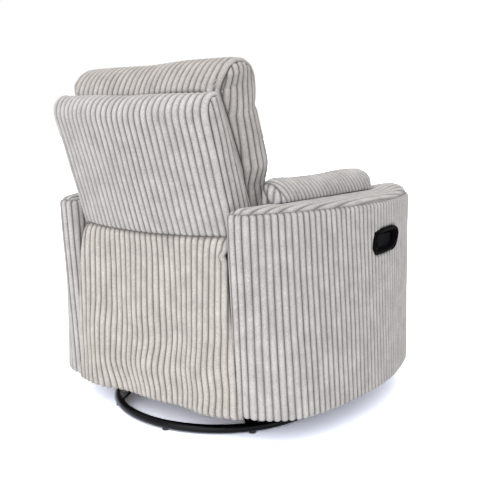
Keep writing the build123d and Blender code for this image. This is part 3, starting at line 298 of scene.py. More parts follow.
def sewn(name, patches, body, finish, nodes):
    """One piece of cloth from grids of points with a pile height each: the grids are joined, and each
    point moves out along its normal by the pile times its height."""
    points, first, joined, faces = weld([p for p, r, keep in patches], [keep for p, r, keep in patches])
    height = np.concatenate([r.ravel() for p, r, keep in patches])[first]
    mesh = outward_mesh(name, points[first], faces)
    mesh.attributes.new("rib", "FLOAT", "POINT").data.foreach_set("value", height.astype(np.float32))
    place = np.zeros(len(mesh.vertices) * 3, np.float32)
    normal = np.zeros_like(place)
    mesh.vertices.foreach_get("co", place)
    mesh.vertex_normals.foreach_get("vector", normal)
    place += normal * np.repeat(height * PILE, 3).astype(np.float32)
    mesh.vertices.foreach_set("co", place)
    mesh.polygons.foreach_set("use_smooth", np.ones(len(mesh.polygons), bool))
    mesh.materials.append(finish)
    mesh.update()
    piece = bpy.data.objects.new(name, mesh)
    bpy.context.scene.collection.objects.link(piece)
    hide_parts(*nodes)
    if body:
        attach(piece, body)
    return piece


def plush(name, groove, flank, crest):
    """Wide-ribbed polyester plush, woven, cut and finished by brushing. Its colour follows the pile height:
    darker in the grooves, where the pile hides, partly from the ground weave and partly as painted shade,
    and paler on the crests as a painted highlight; brushing leaves paler and darker patches 45 mm across,
    and tufts 4 mm across break up the surface."""
    finish, tree = new_finish(name)
    place = add(tree, "TexCoord").outputs["Object"]
    rib = add(tree, "Attribute", attribute_name="rib").outputs["Fac"]
    brush = add(tree, "TexNoise", {"Vector": place, "Scale": 1 / 0.045, "Detail": 3.0, "Roughness": 0.55})
    tuft = add(tree, "TexNoise", {"Vector": place, "Scale": 1 / 0.004, "Detail": 2.0, "Roughness": 0.7})
    # Pile height picks the colour: darker where it is low, partly painted shade, paler on the crests as a
    # painted highlight.
    depth = add(tree, "MapRange", {"Value": rib, "From Max": 0.62}, interpolation_type="SMOOTHSTEP")
    over = add(tree, "MapRange", {"Value": rib, "From Min": 0.45}, interpolation_type="SMOOTHSTEP")
    tone = add(tree, "Mix", {SHARE: depth.outputs[0], FIRST: linear(groove), SECOND: linear(flank)},
               data_type="RGBA")
    tone = add(tree, "Mix", {SHARE: over.outputs[0], FIRST: tone.outputs[MIXED], SECOND: linear(crest)},
               data_type="RGBA")
    patch = add(tree, "MapRange", {"Value": brush.outputs[0], "From Min": 0.3, "From Max": 0.7,
                                   "To Min": 0.86, "To Max": 1.10})
    fleck = add(tree, "MapRange", {"Value": tuft.outputs[0], "From Min": 0.25, "From Max": 0.75,
                                   "To Min": 0.78, "To Max": 1.20})
    shade = add(tree, "Math", {0: patch.outputs[0], 1: fleck.outputs[0]}, operation="MULTIPLY")
    tone = add(tree, "VectorMath", {0: tone.outputs[MIXED], "Scale": shade.outputs[0]}, operation="SCALE")
    bump = add(tree, "Bump", {"Height": tuft.outputs[0], "Strength": 0.6, "Distance": 0.0016})
    shader = add(tree, "BsdfPrincipled", {"Base Color": tone.outputs[0], "Roughness": 0.95,
                                          "Specular IOR Level": 0.15, "Sheen Weight": 0.25,
                                          "Sheen Roughness": 0.55, "Normal": bump.outputs[0]})
    add(tree, "OutputMaterial", {"Surface": shader.outputs[0]})
    return finish


# Groove, flank and crest colours: the dark groove is partly painted shade, the pale crest a painted
# highlight.
grey_plush = plush("grey_ribbed_plush", "#6A6768", "#B7B5B6", "#D3D1D2")


def arc(a, b, c, count):
    """Points on the circle through a, b and c, as complex numbers: the first turned about the centre step
    by step."""
    a, b, c = (complex(*p) for p in (a, b, c))
    w = (c - a) / (b - a)
    centre = a + (b - a) * (w - abs(w) ** 2) / (w - w.conjugate())
    turn = np.angle((b - centre) / (a - centre)) + np.angle((c - centre) / (b - centre))
    line = centre + (a - centre) * np.exp(1j * turn * np.linspace(0, 1, count))
    return np.column_stack([line.real, line.imag])


def beside(a, b, height):
    """The point that far to the right of the middle of a to b."""
    a, b = complex(*a), complex(*b)
    point = (a + b) / 2 - 1j * height * (b - a) / abs(b - a)
    return (point.real, point.imag)


# Points along each long edge and each end of the plan; heights of hem and rim; the inner line and the front.
# Foot and rim give the rear corner, waist, widest point and breast of the outer line, and its swell at the
# rear. The pull's outline is given as (y, z) in the right arm's wall.
ARM_ALONG, ARM_ACROSS = 430, 72
ARM_LOW, ARM_HIGH = 0.095, 0.646
ARM_INNER, ARM_NOSE = 0.276, (0.330, -0.573)
ARM_FOOT = ((0.331, 0.307), (0.446, 0.202), (0.494, -0.113), (0.445, -0.431), 0.018)
ARM_RIM = ((0.331, 0.350), (0.417, 0.166), (0.468, -0.150), (0.416, -0.464), 0.006)
PULL = np.array(((-0.100, 0.506), (-0.105, 0.529), (-0.126, 0.545), (-0.156, 0.5525), (-0.230, 0.5540),
                 (-0.252, 0.5480), (-0.259, 0.5340), (-0.252, 0.5160), (-0.213, 0.4925), (-0.166, 0.4880),
                 (-0.115, 0.4880))) + (AXIS_Y, 0)


def arm_plan(corner, waist, widest, breast, hip):
    """Closed plan of the left arm: three arcs from front to rear outside, the rear edge, the inner line
    back and the front edge, drawn in for the pile by 4 mm at the inner line and by 1.5 mm elsewhere."""
    cheek = beside(ARM_NOSE, breast, 0.011)
    outer = np.vstack([arc(ARM_NOSE, cheek, breast, 160), arc(breast, widest, waist, 400)[1:],
                       arc(waist, beside(waist, corner, hip), corner, 160)[1:]])
    rear, front = (ARM_INNER, corner[1]), (ARM_INNER, ARM_NOSE[1])
    loop = np.vstack([even(outer, ARM_ALONG), even(np.array((corner, rear)), ARM_ACROSS)[1:],
                      even(np.array((rear, front)), ARM_ALONG)[1:],
                      even(np.array((front, ARM_NOSE)), ARM_ACROSS)[1:-1]])
    loop = soften(loop, 0.008)
    drawn = 0.0040 - 0.0025 * np.clip((loop[:, :1] - ARM_INNER) / 0.02, 0, 1)
    return loop + inward(loop) * drawn + (0, AXIS_Y)


def inside(y, z, loop):
    """True where a point lies in a closed line: a ray from it crosses the line an odd number of times."""
    a, b = loop[:, None, :], np.roll(loop, -1, axis=0)[:, None, :]
    over = (a[..., 1] > z) != (b[..., 1] > z)
    cross = a[..., 0] + (z - a[..., 1]) / (b[..., 1] - a[..., 1] + 1e-12) * (b[..., 0] - a[..., 0])
    return (over & (y < cross)).sum(axis=0) % 2 == 1


def arm_rows(side):
    """Height, inset and share of the pile of each row of the wall: the hem rolled under by quarter
    circles, the upright rows, closer round the pull, and the tuck at the seam."""
    hem, seam = 0.010, 0.622
    near_pull = np.arange(0.474, 0.570, 0.004) if side == "right" else np.arange(0.484, 0.560, 0.02)
    upright = np.concatenate([np.arange(ARM_LOW + 0.018, 0.466, 0.022), near_pull,
                              np.arange(0.580, 0.620, 0.013)])
    bend = np.linspace(0, math.pi / 2, 5)[:-1]
    rows = [(ARM_LOW + 0.0045, 0.0115, 0.0)]
    rows += [(ARM_LOW + hem - hem * math.sin(t), hem * math.cos(t), math.sin(t)) for t in 0.6 + bend * 0.61]
    rows += [(ARM_LOW + 0.008 * (1 - math.cos(t)), 0.001 * (1 - math.sin(t)), 1.0) for t in bend]
    rows += [(z, 0.0, 1.0) for z in upright]
    rows += [(seam + 0.010 * math.sin(t), 0.0055 * (1 - math.cos(t)), 0.35 + 0.65 * math.cos(t) ** 0.7)
             for t in bend]
    rows += [(0.6325, 0.0060, 0.30)]
    return (np.array(column)[:, None] for column in zip(*rows))


def arm_cover(side, sign):
    """Wall: rows of the ruled surface between the bottom and top plans, closed below by a cloth drawn to
    the middle. Top: the patch between the four edges of the tucked plan, raised by its distance from the
    seam; at the front it is filled to full pile, which smooths the ribs and spreads the crests' pale colour
    as painted light. The wall is left open below the seat, where the mechanism stands, and at the pull."""
    low, high = arm_plan(*ARM_FOOT), arm_plan(*ARM_RIM)
    length = distance_along(closed(high))
    around = length[:-1] / length[-1] * round(length[-1] / RIB) * RIB
    z, inset, lift = arm_rows(side)
    part = (z - ARM_LOW) / (ARM_HIGH - ARM_LOW)
    plan = low + (high - low) * part[..., None] + inward(high) * inset[..., None]
    sag = 0.0016 * waver(around[None, :], z, 0.35)
    plan -= inward(high) * (sag * lift)[..., None]
    wall = np.dstack([plan[..., 0], plan[..., 1], np.broadcast_to(z, plan.shape[:2])])
    pile = ribs(around + 0.0009 * waver(z, around[None, :], 0.21)) * lift
    pile = pile * (0.93 + 0.07 * waver(around, z, 0.12))
    spine_x, spine_y = np.full(len(low), 0.355), low[:, 1].clip(AXIS_Y - 0.49, AXIS_Y + 0.23)
    spine = np.column_stack([spine_x, spine_y, np.full(len(low), z[0])])
    wall, pile = wrapped(np.vstack([spine[None], wall])), wrapped(np.vstack([0 * pile[:1], pile]))
    middle = (wall[:-1, :-1] + wall[1:, 1:]) / 2
    hidden = (np.abs(middle[..., 0] - ARM_INNER) < 0.007) & (middle[..., 2] < 0.430)
    hidden &= (middle[..., 1] > AXIS_Y - 0.513) & (middle[..., 1] < AXIS_Y + 0.262)
    keep = ~hidden
    if side == "right":
        outside = 0.40
        hole = inside(middle[..., 1].ravel(), middle[..., 2].ravel(), PULL).reshape(keep.shape)
        keep &= ~(hole & (middle[..., 0] > outside))
        close = nearest(wall[..., 1:], even(closed(PULL), 90))
        pile = pile * np.where(wall[..., 0] > outside, np.clip(close / 0.009 - 0.3, 0, 1), 1)
    rim = wall[-1, :-1]
    rear_out = ARM_ALONG - 1
    rear_in = rear_out + ARM_ACROSS - 1
    front_in = rear_in + ARM_ALONG - 1
    outer, inner = rim[:rear_out + 1], rim[rear_in:front_in + 1][::-1]
    rear, front = rim[rear_out:rear_in + 1][::-1], np.vstack([rim[front_in:], rim[:1]])
    u, v = np.linspace(0, 1, ARM_ALONG)[:, None, None], np.linspace(0, 1, ARM_ACROSS)[None, :, None]
    top = ((1 - v) * inner[:, None] + v * outer[:, None] + (1 - u) * front[None] + u * rear[None]
           - (1 - u) * (1 - v) * front[0] - (1 - u) * v * front[-1]
           - u * (1 - v) * rear[0] - u * v * rear[-1])
    top[0], top[-1], top[:, 0], top[:, -1] = front, rear, inner, outer
    away = nearest(top[..., :2], rim[::3, :2])
    away[0] = away[-1] = away[:, 0] = away[:, -1] = 0
    under_pad = (top[..., 0] < 0.336) & (np.abs(top[..., 1] - AXIS_Y + 0.132) < 0.265)
    ahead = ease((AXIS_Y - 0.34 - top[..., 1]) / 0.12)
    top[..., 2] += 0.0125 * (1 - np.exp(-away / 0.011))
    top[..., 2] += 0.001 * waver(top[..., 0], top[..., 1], 0.2) * (away > 0.01)
    top[..., 2] += 0.011 * ahead * (1 - np.exp(-away / 0.012))
    crown = ribs(top[..., 0] - ARM_INNER + 0.001 * waver(top[..., 1], top[..., 0], 0.2))
    # At the front the top is filled to full pile: smoother ribs, and the crests' pale colour as painted
    # light.
    smooth_and_painted_light = np.clip((away - 0.004) / 0.012, 0, 1) * np.clip((0.70 - v[..., 0]) / 0.15, 0, 1)
    smooth_and_painted_light = 0.6 * ahead * smooth_and_painted_light
    crown = crown * (1 - smooth_and_painted_light) + smooth_and_painted_light
    crown = 0.3 + (crown - 0.3) * (1 - np.exp(-away / 0.004)) * (1 - 0.8 * under_pad)
    flip = np.array((sign, 1, 1))
    return sewn(f"arm_{side}_cloth", [(wall * flip, pile, keep), (top * flip, crown, None)], "carriage",
                grey_plush, [f"arm_cover_{side}"])


arm_cover("left", 1)
arm_cover("right", -1)


# Arm pads. Overstuffed rolls of the same plush over fibre, sewn shut at both ends and laid over the inner
# edge of each arm, with their ribs running round the roll.
def arm_pad(side, sign):
    """A rounded hook section carried along the arm. Towards the rear the hook shortens and its inner side
    is pushed out by the back cushion; at each end the section shrinks to the arm's top by a quarter of a
    superellipse. The pile is pressed flat where the pad lies on the arm."""
    arm_top, arm_wall = 0.6475, 0.2750
    section = np.array(((0.338, arm_top), (0.3400, 0.662), (0.336, 0.681), (0.324, 0.698), (0.297, 0.7080),
                        (0.270, 0.702), (0.251, 0.678), (0.241, 0.640), (0.238, 0.590), (0.242, 0.540),
                        (0.252, 0.511), (0.266, 0.507), (arm_wall, 0.514), (arm_wall, 0.642),
                        (0.281, arm_top)))
    ring = soften(even(closed(section), 400)[:-1], 0.006)
    ring = even(closed(ring), 97)[:-1]
    dome = np.linspace(0, math.pi / 2, 26)
    front, rear, cap = -0.376 + AXIS_Y, 0.190 + AXIS_Y, 0.040
    run = np.arange(front + cap, rear - cap, 0.0025)[1:-1]
    y = np.concatenate([front + cap - cap * np.cos(dome), run, rear - cap + cap * np.sin(dome)])
    size = np.concatenate([np.sin(dome) ** 0.62, np.ones(len(run)), np.cos(dome) ** 0.45])
    along = distance_along(np.column_stack([y, size * cap]))
    pushed = ease((y - AXIS_Y - 0.060) / 0.062)[:, None]
    x = np.maximum(ring[None, :, 0], 0.2365 + 0.037 * pushed)
    hook = ring[None, :, 0] < arm_wall + 0.001
    z = np.where(hook, np.maximum(ring[None, :, 1], 0.500 + 0.1475 * pushed), ring[None, :, 1])
    hold = 0.277 + 0.033 * pushed
    rise = 1 + 0.13 * np.exp(-((y - AXIS_Y + 0.25) / 0.12) ** 2)[:, None] + 0.05 * pushed
    x = hold + (x - hold) * size[:, None]
    z = arm_top + (z - arm_top) * size[:, None] * np.where(z > arm_top, rise, 1)
    x = sign * (x + 0.002 * waver(y[:, None], z, 0.18))
    grid = np.dstack([x, np.broadcast_to(y[:, None], x.shape), z])
    free = 1 - np.exp(-0.5 * ((ring[:, 0] - arm_wall) / 0.006) ** 2)
    lying = (ring[:, 0] > arm_wall - 0.0005) & (ring[:, 1] < 0.652)
    free = np.where(lying, np.minimum(free, 0.15), np.maximum(free, 0.2))
    slant = 0.7 * (0.712 - z).clip(0, 0.065) * (x * sign > 0.29)
    round_it = ribs(along[:, None] + slant + 0.0012 * waver(z, y[:, None], 0.15))
    round_it = round_it * np.minimum(1, size * 3)[:, None]
    end_seam = rear - 0.011
    stitched = 0.8 * np.exp(-((y - end_seam) / 0.003) ** 2)
    pile = np.where((y > end_seam)[:, None], ribs(x), round_it) * free[None, :] * (1 - stitched)[:, None]
    return sewn(f"arm_pad_{side}_cloth", [(wrapped(grid), wrapped(pile), None)], "carriage",
                grey_plush, [f"arm_pad_{side}"])


arm_pad("left", 1)
arm_pad("right", -1)


# Pull in the sitter's right arm. A moulded cup with a flange that covers the edge of the cut cloth, and a
# lever that turns on a steel pin and tugs the release cable.
# Moulded ABS: black and satin, with a fine leather grain 1.5 mm across.
black_abs, tree = new_finish("black_moulded_abs")
place = add(tree, "TexCoord").outputs["Object"]
grain = add(tree, "TexVoronoi", {"Vector": place, "Scale": 1 / 0.0015})
rub = add(tree, "TexNoise", {"Vector": place, "Scale": 1 / 0.03, "Detail": 3.0})
tone = add(tree, "Mix", {SHARE: rub.outputs[0], FIRST: linear("#040405"), SECOND: linear("#0A0A0B")},
           data_type="RGBA")
dull = add(tree, "MapRange", {"Value": rub.outputs[0], "To Min": 0.66, "To Max": 0.82})
bump = add(tree, "Bump", {"Height": grain.outputs[0], "Strength": 0.2, "Distance": 0.0003})
shader = add(tree, "BsdfPrincipled", {"Base Color": tone.outputs[MIXED], "Roughness": dull.outputs[0],
                                      "Normal": bump.outputs[0], "IOR": 1.53, "Specular IOR Level": 0.03})
add(tree, "OutputMaterial", {"Surface": shader.outputs[0]})
wear(black_abs, "pull_cup", "pull_lever")


def pull_flange():
    """A half-round bead carried along the cup's outline: its section turns from the outside to the inside
    edge, a lip runs on into the cup, and a thin dish closes it behind."""
    wall, rise, half = 0.4730, 0.0072, 0.0055
    ring = soften(even(closed(PULL), 241)[:-1], 0.006)
    way = inward(ring)
    bend = np.linspace(0, math.pi, 9)[:, None, None]
    bead = ring[None] - way[None] * half * np.cos(bend)
    x = -(wall + rise * np.sin(bend[..., 0])) * np.ones((1, len(ring)))
    bead = np.dstack([x, bead[..., 0], bead[..., 1]])
    lip = ring + way * 0.012
    lip = np.stack([np.column_stack([np.full(len(lip), depth), lip]) for depth in (-0.466, -0.440)])
    dish = bead[:1] * (0, 1, 1) - (0.434, 0, 0)
    middle = dish * (1, 0, 0) + (0, *ring.mean(axis=0))
    grid = wrapped(np.vstack([middle + (0.002, 0, 0), dish, bead, lip, middle]))
    bare = np.zeros(grid.shape[:2])
    piece = sewn("pull_flange", [(grid, bare, None)], None, black_abs, [])
    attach(piece, "carriage")


pull_flange()


# Seat cushion. A foam block boxed in the same plush, with its ribs running from the back over the rolled
# front. The case is sewn flat and crowns where the filling pushes it out; it lies on the deck and webbing.
def boxed(section, soft, half, edge, rows, wide_ribs, side_way, place, rest, draw=0.010, form=None,
          bulge=lambda d, h: 0.006 + 0 * h):
    """A boxed cushion. The section, a closed line of (depth, height), is rounded and split at its lowest
    and highest points into two lines of that many rows. The band carries that loop across to the half
    width, and near each side turns through a quarter circle of the edge's radius into the loop drawn in
    by that radius, where the side panel runs from one line to the other and swells by the bulge. Rest is
    0 where the case lies on something and 1 where the corners are drawn in freely. The form, if any,
    shifts the band's depths and heights by their place across; side_way gives the distance across the
    side panel's ribs; place sets it all in the frame. Gives the patches and where each of them is
    held."""
    step, corner_steps = 0.0025, 8
    ring = soften(even(closed(section), 1500)[:-1], soft)
    ring = np.roll(ring, -np.argmin(ring[:, 1]), axis=0)
    top = np.argmax(ring[:, 1])
    front, back = even(ring[:top + 1], rows), even(closed(ring)[top:], rows)
    loop = np.vstack([front, back[1:]])
    way = closed(inward(loop[:-1]))
    width, bend = half(*loop.T), edge(*loop.T)
    share = np.linspace(0, 1, int(width.max() / step))
    turn = np.append(0 * share, np.linspace(0, math.pi / 2, corner_steps + 1)[1:])[:, None]
    share = np.append(share, np.ones(corner_steps))[:, None]
    x = share * (width - bend) + bend * np.sin(turn)
    across = share * (width - bend) + bend * turn
    inset = bend * (1 - np.cos(turn))
    fade = np.clip((math.pi / 2 - turn) / 0.5, 0, 1) ** 0.6 + 0 * x
    x, across = (np.vstack([-one_half[:0:-1], one_half]) for one_half in (x, across))
    inset, fade = (np.vstack([one_half[:0:-1], one_half]) for one_half in (inset, fade))
    free = rest(*loop.T)
    drawn = inset + draw * (np.abs(x) / width) ** 4 * free
    drawn = drawn + 0.0025 * waver(x, loop[None, :, 1], 0.25) * free
    flat = loop[None] + way[None] * drawn[..., None]
    if form:
        flat = form(x, flat)
    band = place(x, flat[..., 0], flat[..., 1])
    wave = (across / across[-1] + 1) / 2 * wide_ribs * RIB
    wave = wave + 0.001 * waver(loop[None, :, 1] + loop[None, :, 0], x, 0.16)
    seen = np.maximum(free[None, :], np.clip((np.abs(x) - width + bend + 0.012) / 0.012, 0, 1))
    held = np.broadcast_to(free < 0.6, x.shape).copy()
    held[[0, -1]] = True
    patches, holds = [(band, ribs(wave) * fade * seen, None)], [held]
    f = np.linspace(0, 1, 65)[None, :]
    level = np.sin(math.pi * np.arange(rows) / (rows - 1))[:, None]
    swell = np.sin(math.pi * f) ** 0.7 * level ** 0.5
    for end, sign in ((0, -1), (-1, 1)):
        a, b = flat[end, :rows], flat[end, rows - 1:][::-1]
        side = a[:, None] + (b - a)[:, None] * f[..., None]
        ends = x[end, :rows, None] * (1 - f) + x[end, rows - 1:, None][::-1] * f
        panel = place(ends + sign * swell * bulge(side[..., 0], side[..., 1]), side[..., 0], side[..., 1])
        panel[:, 0], panel[:, -1] = band[end, :rows], band[end, rows - 1:][::-1]
        panel[0], panel[-1] = panel[0, :1], panel[-1, :1]
        strip = ribs(side_way(side[..., 0], side[..., 1]) + 0.0015 * waver(side[..., 1], side[..., 0], 0.13))
        strip = strip * np.minimum(1, 12 * level) * np.minimum(1, 30 * f * (1 - f))
        patches.append((panel, strip, None))
        holds.append((f * (1 - f) < 1e-6) | (level < 1e-6))
    return patches, holds


def stuffed(patches, holds):
    """Fills a sewn case. A coarse copy is blown up as cloth by pressure without gravity, held at its
    stitches and where it rests; how far each point moved, up to the cap, is spread over the fine grids
    between the coarse points."""
    cap, steps, last_frame = 0.022, ((5, 2), (2, 8), (2, 8)), 20
    picks = [[np.unique(np.append(np.arange(0, n, s), n - 1)) for n, s in zip(p.shape, step)]
             for (p, r, keep), step in zip(patches, steps)]
    coarse = [p[np.ix_(*pick)] for (p, r, keep), pick in zip(patches, picks)]
    points, first, joined, faces = weld(coarse, [None] * len(coarse))
    held = np.concatenate([h[np.ix_(*pick)].ravel() for h, pick in zip(holds, picks)])
    case = bpy.data.objects.new("filled_case", outward_mesh("filled_case", points[first], faces))
    scene = bpy.context.scene
    scene.collection.objects.link(case)
    case.vertex_groups.new(name="stitched").add(np.unique(joined[held]).tolist(), 1.0, "REPLACE")
    cloth = case.modifiers.new("filling", "CLOTH")
    cloth.settings.quality, cloth.settings.mass = 6, 0.3
    cloth.settings.tension_stiffness = cloth.settings.compression_stiffness = 15
    cloth.settings.shear_stiffness, cloth.settings.bending_stiffness = 5, 0.5
    cloth.settings.use_pressure, cloth.settings.uniform_pressure_force = True, 4.0
    cloth.settings.effector_weights.gravity = 0
    cloth.settings.vertex_group_mass = "stitched"
    cloth.collision_settings.use_collision = False
    cloth.point_cache.frame_start, cloth.point_cache.frame_end = 1, last_frame
    for step in range(1, last_frame + 1):
        scene.frame_set(step)
    shape = case.evaluated_get(bpy.context.evaluated_depsgraph_get()).to_mesh()
    moved = np.zeros(3 * len(shape.vertices), np.float32)
    shape.vertices.foreach_get("co", moved)
    moved = moved.reshape(-1, 3) - points[first]
    far = np.linalg.norm(moved, axis=1, keepdims=True)
    moved = (moved * np.minimum(1, cap / (far + 1e-9)))[joined]
    bpy.data.meshes.remove(case.data)
    scene.frame_set(1)
    filled, start = [], 0
    for (p, r, keep), pick, grid in zip(patches, picks, coarse):
        count = grid.shape[0] * grid.shape[1]
        spread = [np.column_stack([np.interp(np.arange(n), at, unit) for unit in np.eye(len(at))])
                  for n, at in zip(p.shape, pick)]
        shift = moved[start:start + count].reshape(grid.shape)
        filled.append((p + np.einsum("ia,jb,abk->ijk", *spread, shift, optimize=True), r, keep))
        start += count
    return filled


# The seat's section is given as (z, y), so that it is split at its front and rear.
seat_under, seat_front, seat_length = 0.4262, -0.576, 0.71
seat_section = np.array(((seat_under, 0.138), (seat_under, -0.560), (0.436, -0.572), (0.456, -0.575),
                         (0.476, -0.567), (0.489, -0.548), (0.498, -0.486), (0.503, -0.386), (0.504, -0.236),
                         (0.502, -0.086), (0.497, 0.034), (0.488, 0.104), (0.470, 0.136))) + (0, AXIS_Y)
seat = boxed(seat_section, 0.008,
             lambda z, y: 0.268 - 0.004 * np.sin((y - AXIS_Y - seat_front) / seat_length * math.pi),
             lambda z, y: 0.020 + 0 * z, 121, 27, lambda z, y: z - seat_under,
             lambda x, z, y: np.stack([x, y, z], axis=-1), lambda z, y: np.clip((z - 0.428) / 0.01, 0, 1))
sewn("seat_cushion_cloth", stuffed(*seat), "carriage", grey_plush, ["seat_cushion"])


# Outer back panel. Plush over a padded board, pulled over its top edge and boxed at the sides with a strip
# whose ribs follow the edge; it is closed below by the skirt's seam.
LEAN = math.radians(14)
HINGE = np.array((AXIS_Y + 0.225, 0.440))


def back_place(x, depth, height):
    """From the back's own plane: depth runs rearwards from the hinge and height up the back, tilted by
    its lean."""
    y = HINGE[0] + depth * math.cos(LEAN) + height * math.sin(LEAN)
    z = HINGE[1] - depth * math.sin(LEAN) + height * math.cos(LEAN)
    return np.stack([x, y, z], axis=-1)


def panel_front(h):
    """Depth of the panel's front: a straight line that comes rearwards by 0.2085 of the height."""
    return -0.061 + 0.2085 * (h - 0.1425)


def panel_rear(h):
    """Depth of the panel's rear at its sides: a straight line that goes rearwards by 0.0892 of the
    height."""
    return 0.044 + 0.0892 * (h - 0.139)


def crowned(x, flat):
    """The panel's padding: its rear moves out by 31 mm at the middle, falling with the square of the way
    to the edge, and what lies between the front and the rear by its share of the depth."""
    depth, height = flat[..., 0], flat[..., 1]
    share = np.clip((depth - panel_front(height)) / (panel_rear(height) - panel_front(height)), 0, 1)
    return np.stack([depth + 0.031 * (1 - (x / 0.268) ** 2) * share, height], axis=-1)


def panel_free(d, h):
    """0 on the panel's front and at its lower seam, and 1 elsewhere."""
    return np.clip((d - panel_front(h) - 0.006) / 0.01, 0, 1) * np.clip((h - 0.143) / 0.008, 0, 1)


panel_section = np.array(((-0.058, 0.1425), (-0.061, 0.1445), (0.0145, 0.507), (0.020, 0.5125),
                          (0.040, 0.5145), (0.055, 0.510), (0.0665, 0.498), (0.0725, 0.483),
                          (0.0735, 0.465), (0.0660, 0.385), (0.0588, 0.305), (0.0517, 0.225),
                          (0.0455, 0.155), (0.043, 0.1425)))
panel = boxed(panel_section, 0.005, lambda d, h: 0.268 + 0 * h, lambda d, h: 0.008 + 0 * h, 91, 28,
              lambda d, h: panel_rear(h) - 0.006 - d, back_place, panel_free, draw=0.001, form=crowned)
sewn("back_panel_cloth", panel[0], "back", grey_plush, ["back_panel"])


# Back cushion. Fibre in a boxed plush case, hung in front of the panel and over its top, and quilted through
# once so that a head roll stands over a longer lumbar roll.
# The same plush in a darker, warmer copy for the back cushion: painted shade and painted warm light.
painted_shade_plush = plush("painted_shade_ribbed_plush", "#656160", "#AFABA9", "#C9C6C4")


def slumped(x, flat):
    """The fibre has settled: from the sitter's left to the middle the head roll lies up to 14 mm
    lower."""
    settled = 0.0072 * (1 + np.tanh((x + 0.06) / 0.09)) * np.clip((flat[..., 1] - 0.46) / 0.09, 0, 1)
    return np.stack([flat[..., 0], flat[..., 1] - settled], axis=-1)


def before_panel(d, h):
    """How far in front of the panel a point of the case lies: the depth of the panel's face less its
    own."""
    return 0.0035 + 0.207 * (h - 0.505) - d


def against(d, h):
    """1 where the case lies on the panel and 0 from 35 mm in front of it."""
    return np.clip(1 - before_panel(d, h) / 0.035, 0, 1)


def cushion_half(d, h):
    """Half the width: less between the arms than above them, and 16 mm less at the panel."""
    free_half = np.interp(h, (0.0, 0.24, 0.29, 0.45, 0.54, 0.58), (0.262, 0.263, 0.272, 0.270, 0.267, 0.265))
    return free_half - 0.016 * against(d, h)


def cushion_free(d, h):
    """1 where the case is free, 0.05 where it lies on the panel, and less in the quilted channel."""
    off_panel = np.clip(before_panel(d, h) / 0.012 + np.clip((h - 0.508) / 0.01, 0, 1), 0.05, 1)
    return off_panel * (1 - 0.85 * np.exp(-((h - 0.450) / 0.006) ** 2) * (d < -0.1))


cushion_section = np.array(((-0.088, 0.014), (-0.112, 0.022), (-0.118, 0.06), (-0.117, 0.12),
                            (-0.124, 0.180), (-0.142, 0.225), (-0.154, 0.264), (-0.156, 0.30),
                            (-0.153, 0.337), (-0.145, 0.384), (-0.139, 0.425), (-0.137, 0.441),
                            (-0.126, 0.450), (-0.137, 0.459), (-0.148, 0.490), (-0.153, 0.525),
                            (-0.143, 0.552), (-0.116, 0.572), (-0.080, 0.579), (-0.045, 0.571),
                            (-0.016, 0.552), (0.004, 0.530), (0.011, 0.512), (0.0075, 0.49),
                            (-0.0635, 0.145), (-0.068, 0.06), (-0.072, 0.022)))
cushion = boxed(cushion_section, 0.0055, cushion_half, lambda d, h: 0.011 + 0.014 * against(d, h), 111, 28,
                lambda d, h: d - np.interp(h, (0.30, 0.44, 0.60), (-0.156, -0.146, -0.186)), back_place,
                cushion_free, draw=0.002, form=slumped,
                bulge=lambda d, h: np.interp(h, (0.24, 0.29), (0.003, 0.015)))
sewn("back_cushion_cloth", stuffed(*cushion), "back", painted_shade_plush, ["back_cushion"])


# Skirt under the back panel. One loose width of the plush, sewn into the panel's lower seam and left hanging
# so that the back can recline; its sides are turned in and its lower edge is rolled under.
# A lighter, warmer copy of the same plush for the skirt: painted light.
painted_light_plush = plush("painted_light_ribbed_plush", "#746F6C", "#BDB9B5", "#D6D2CE")


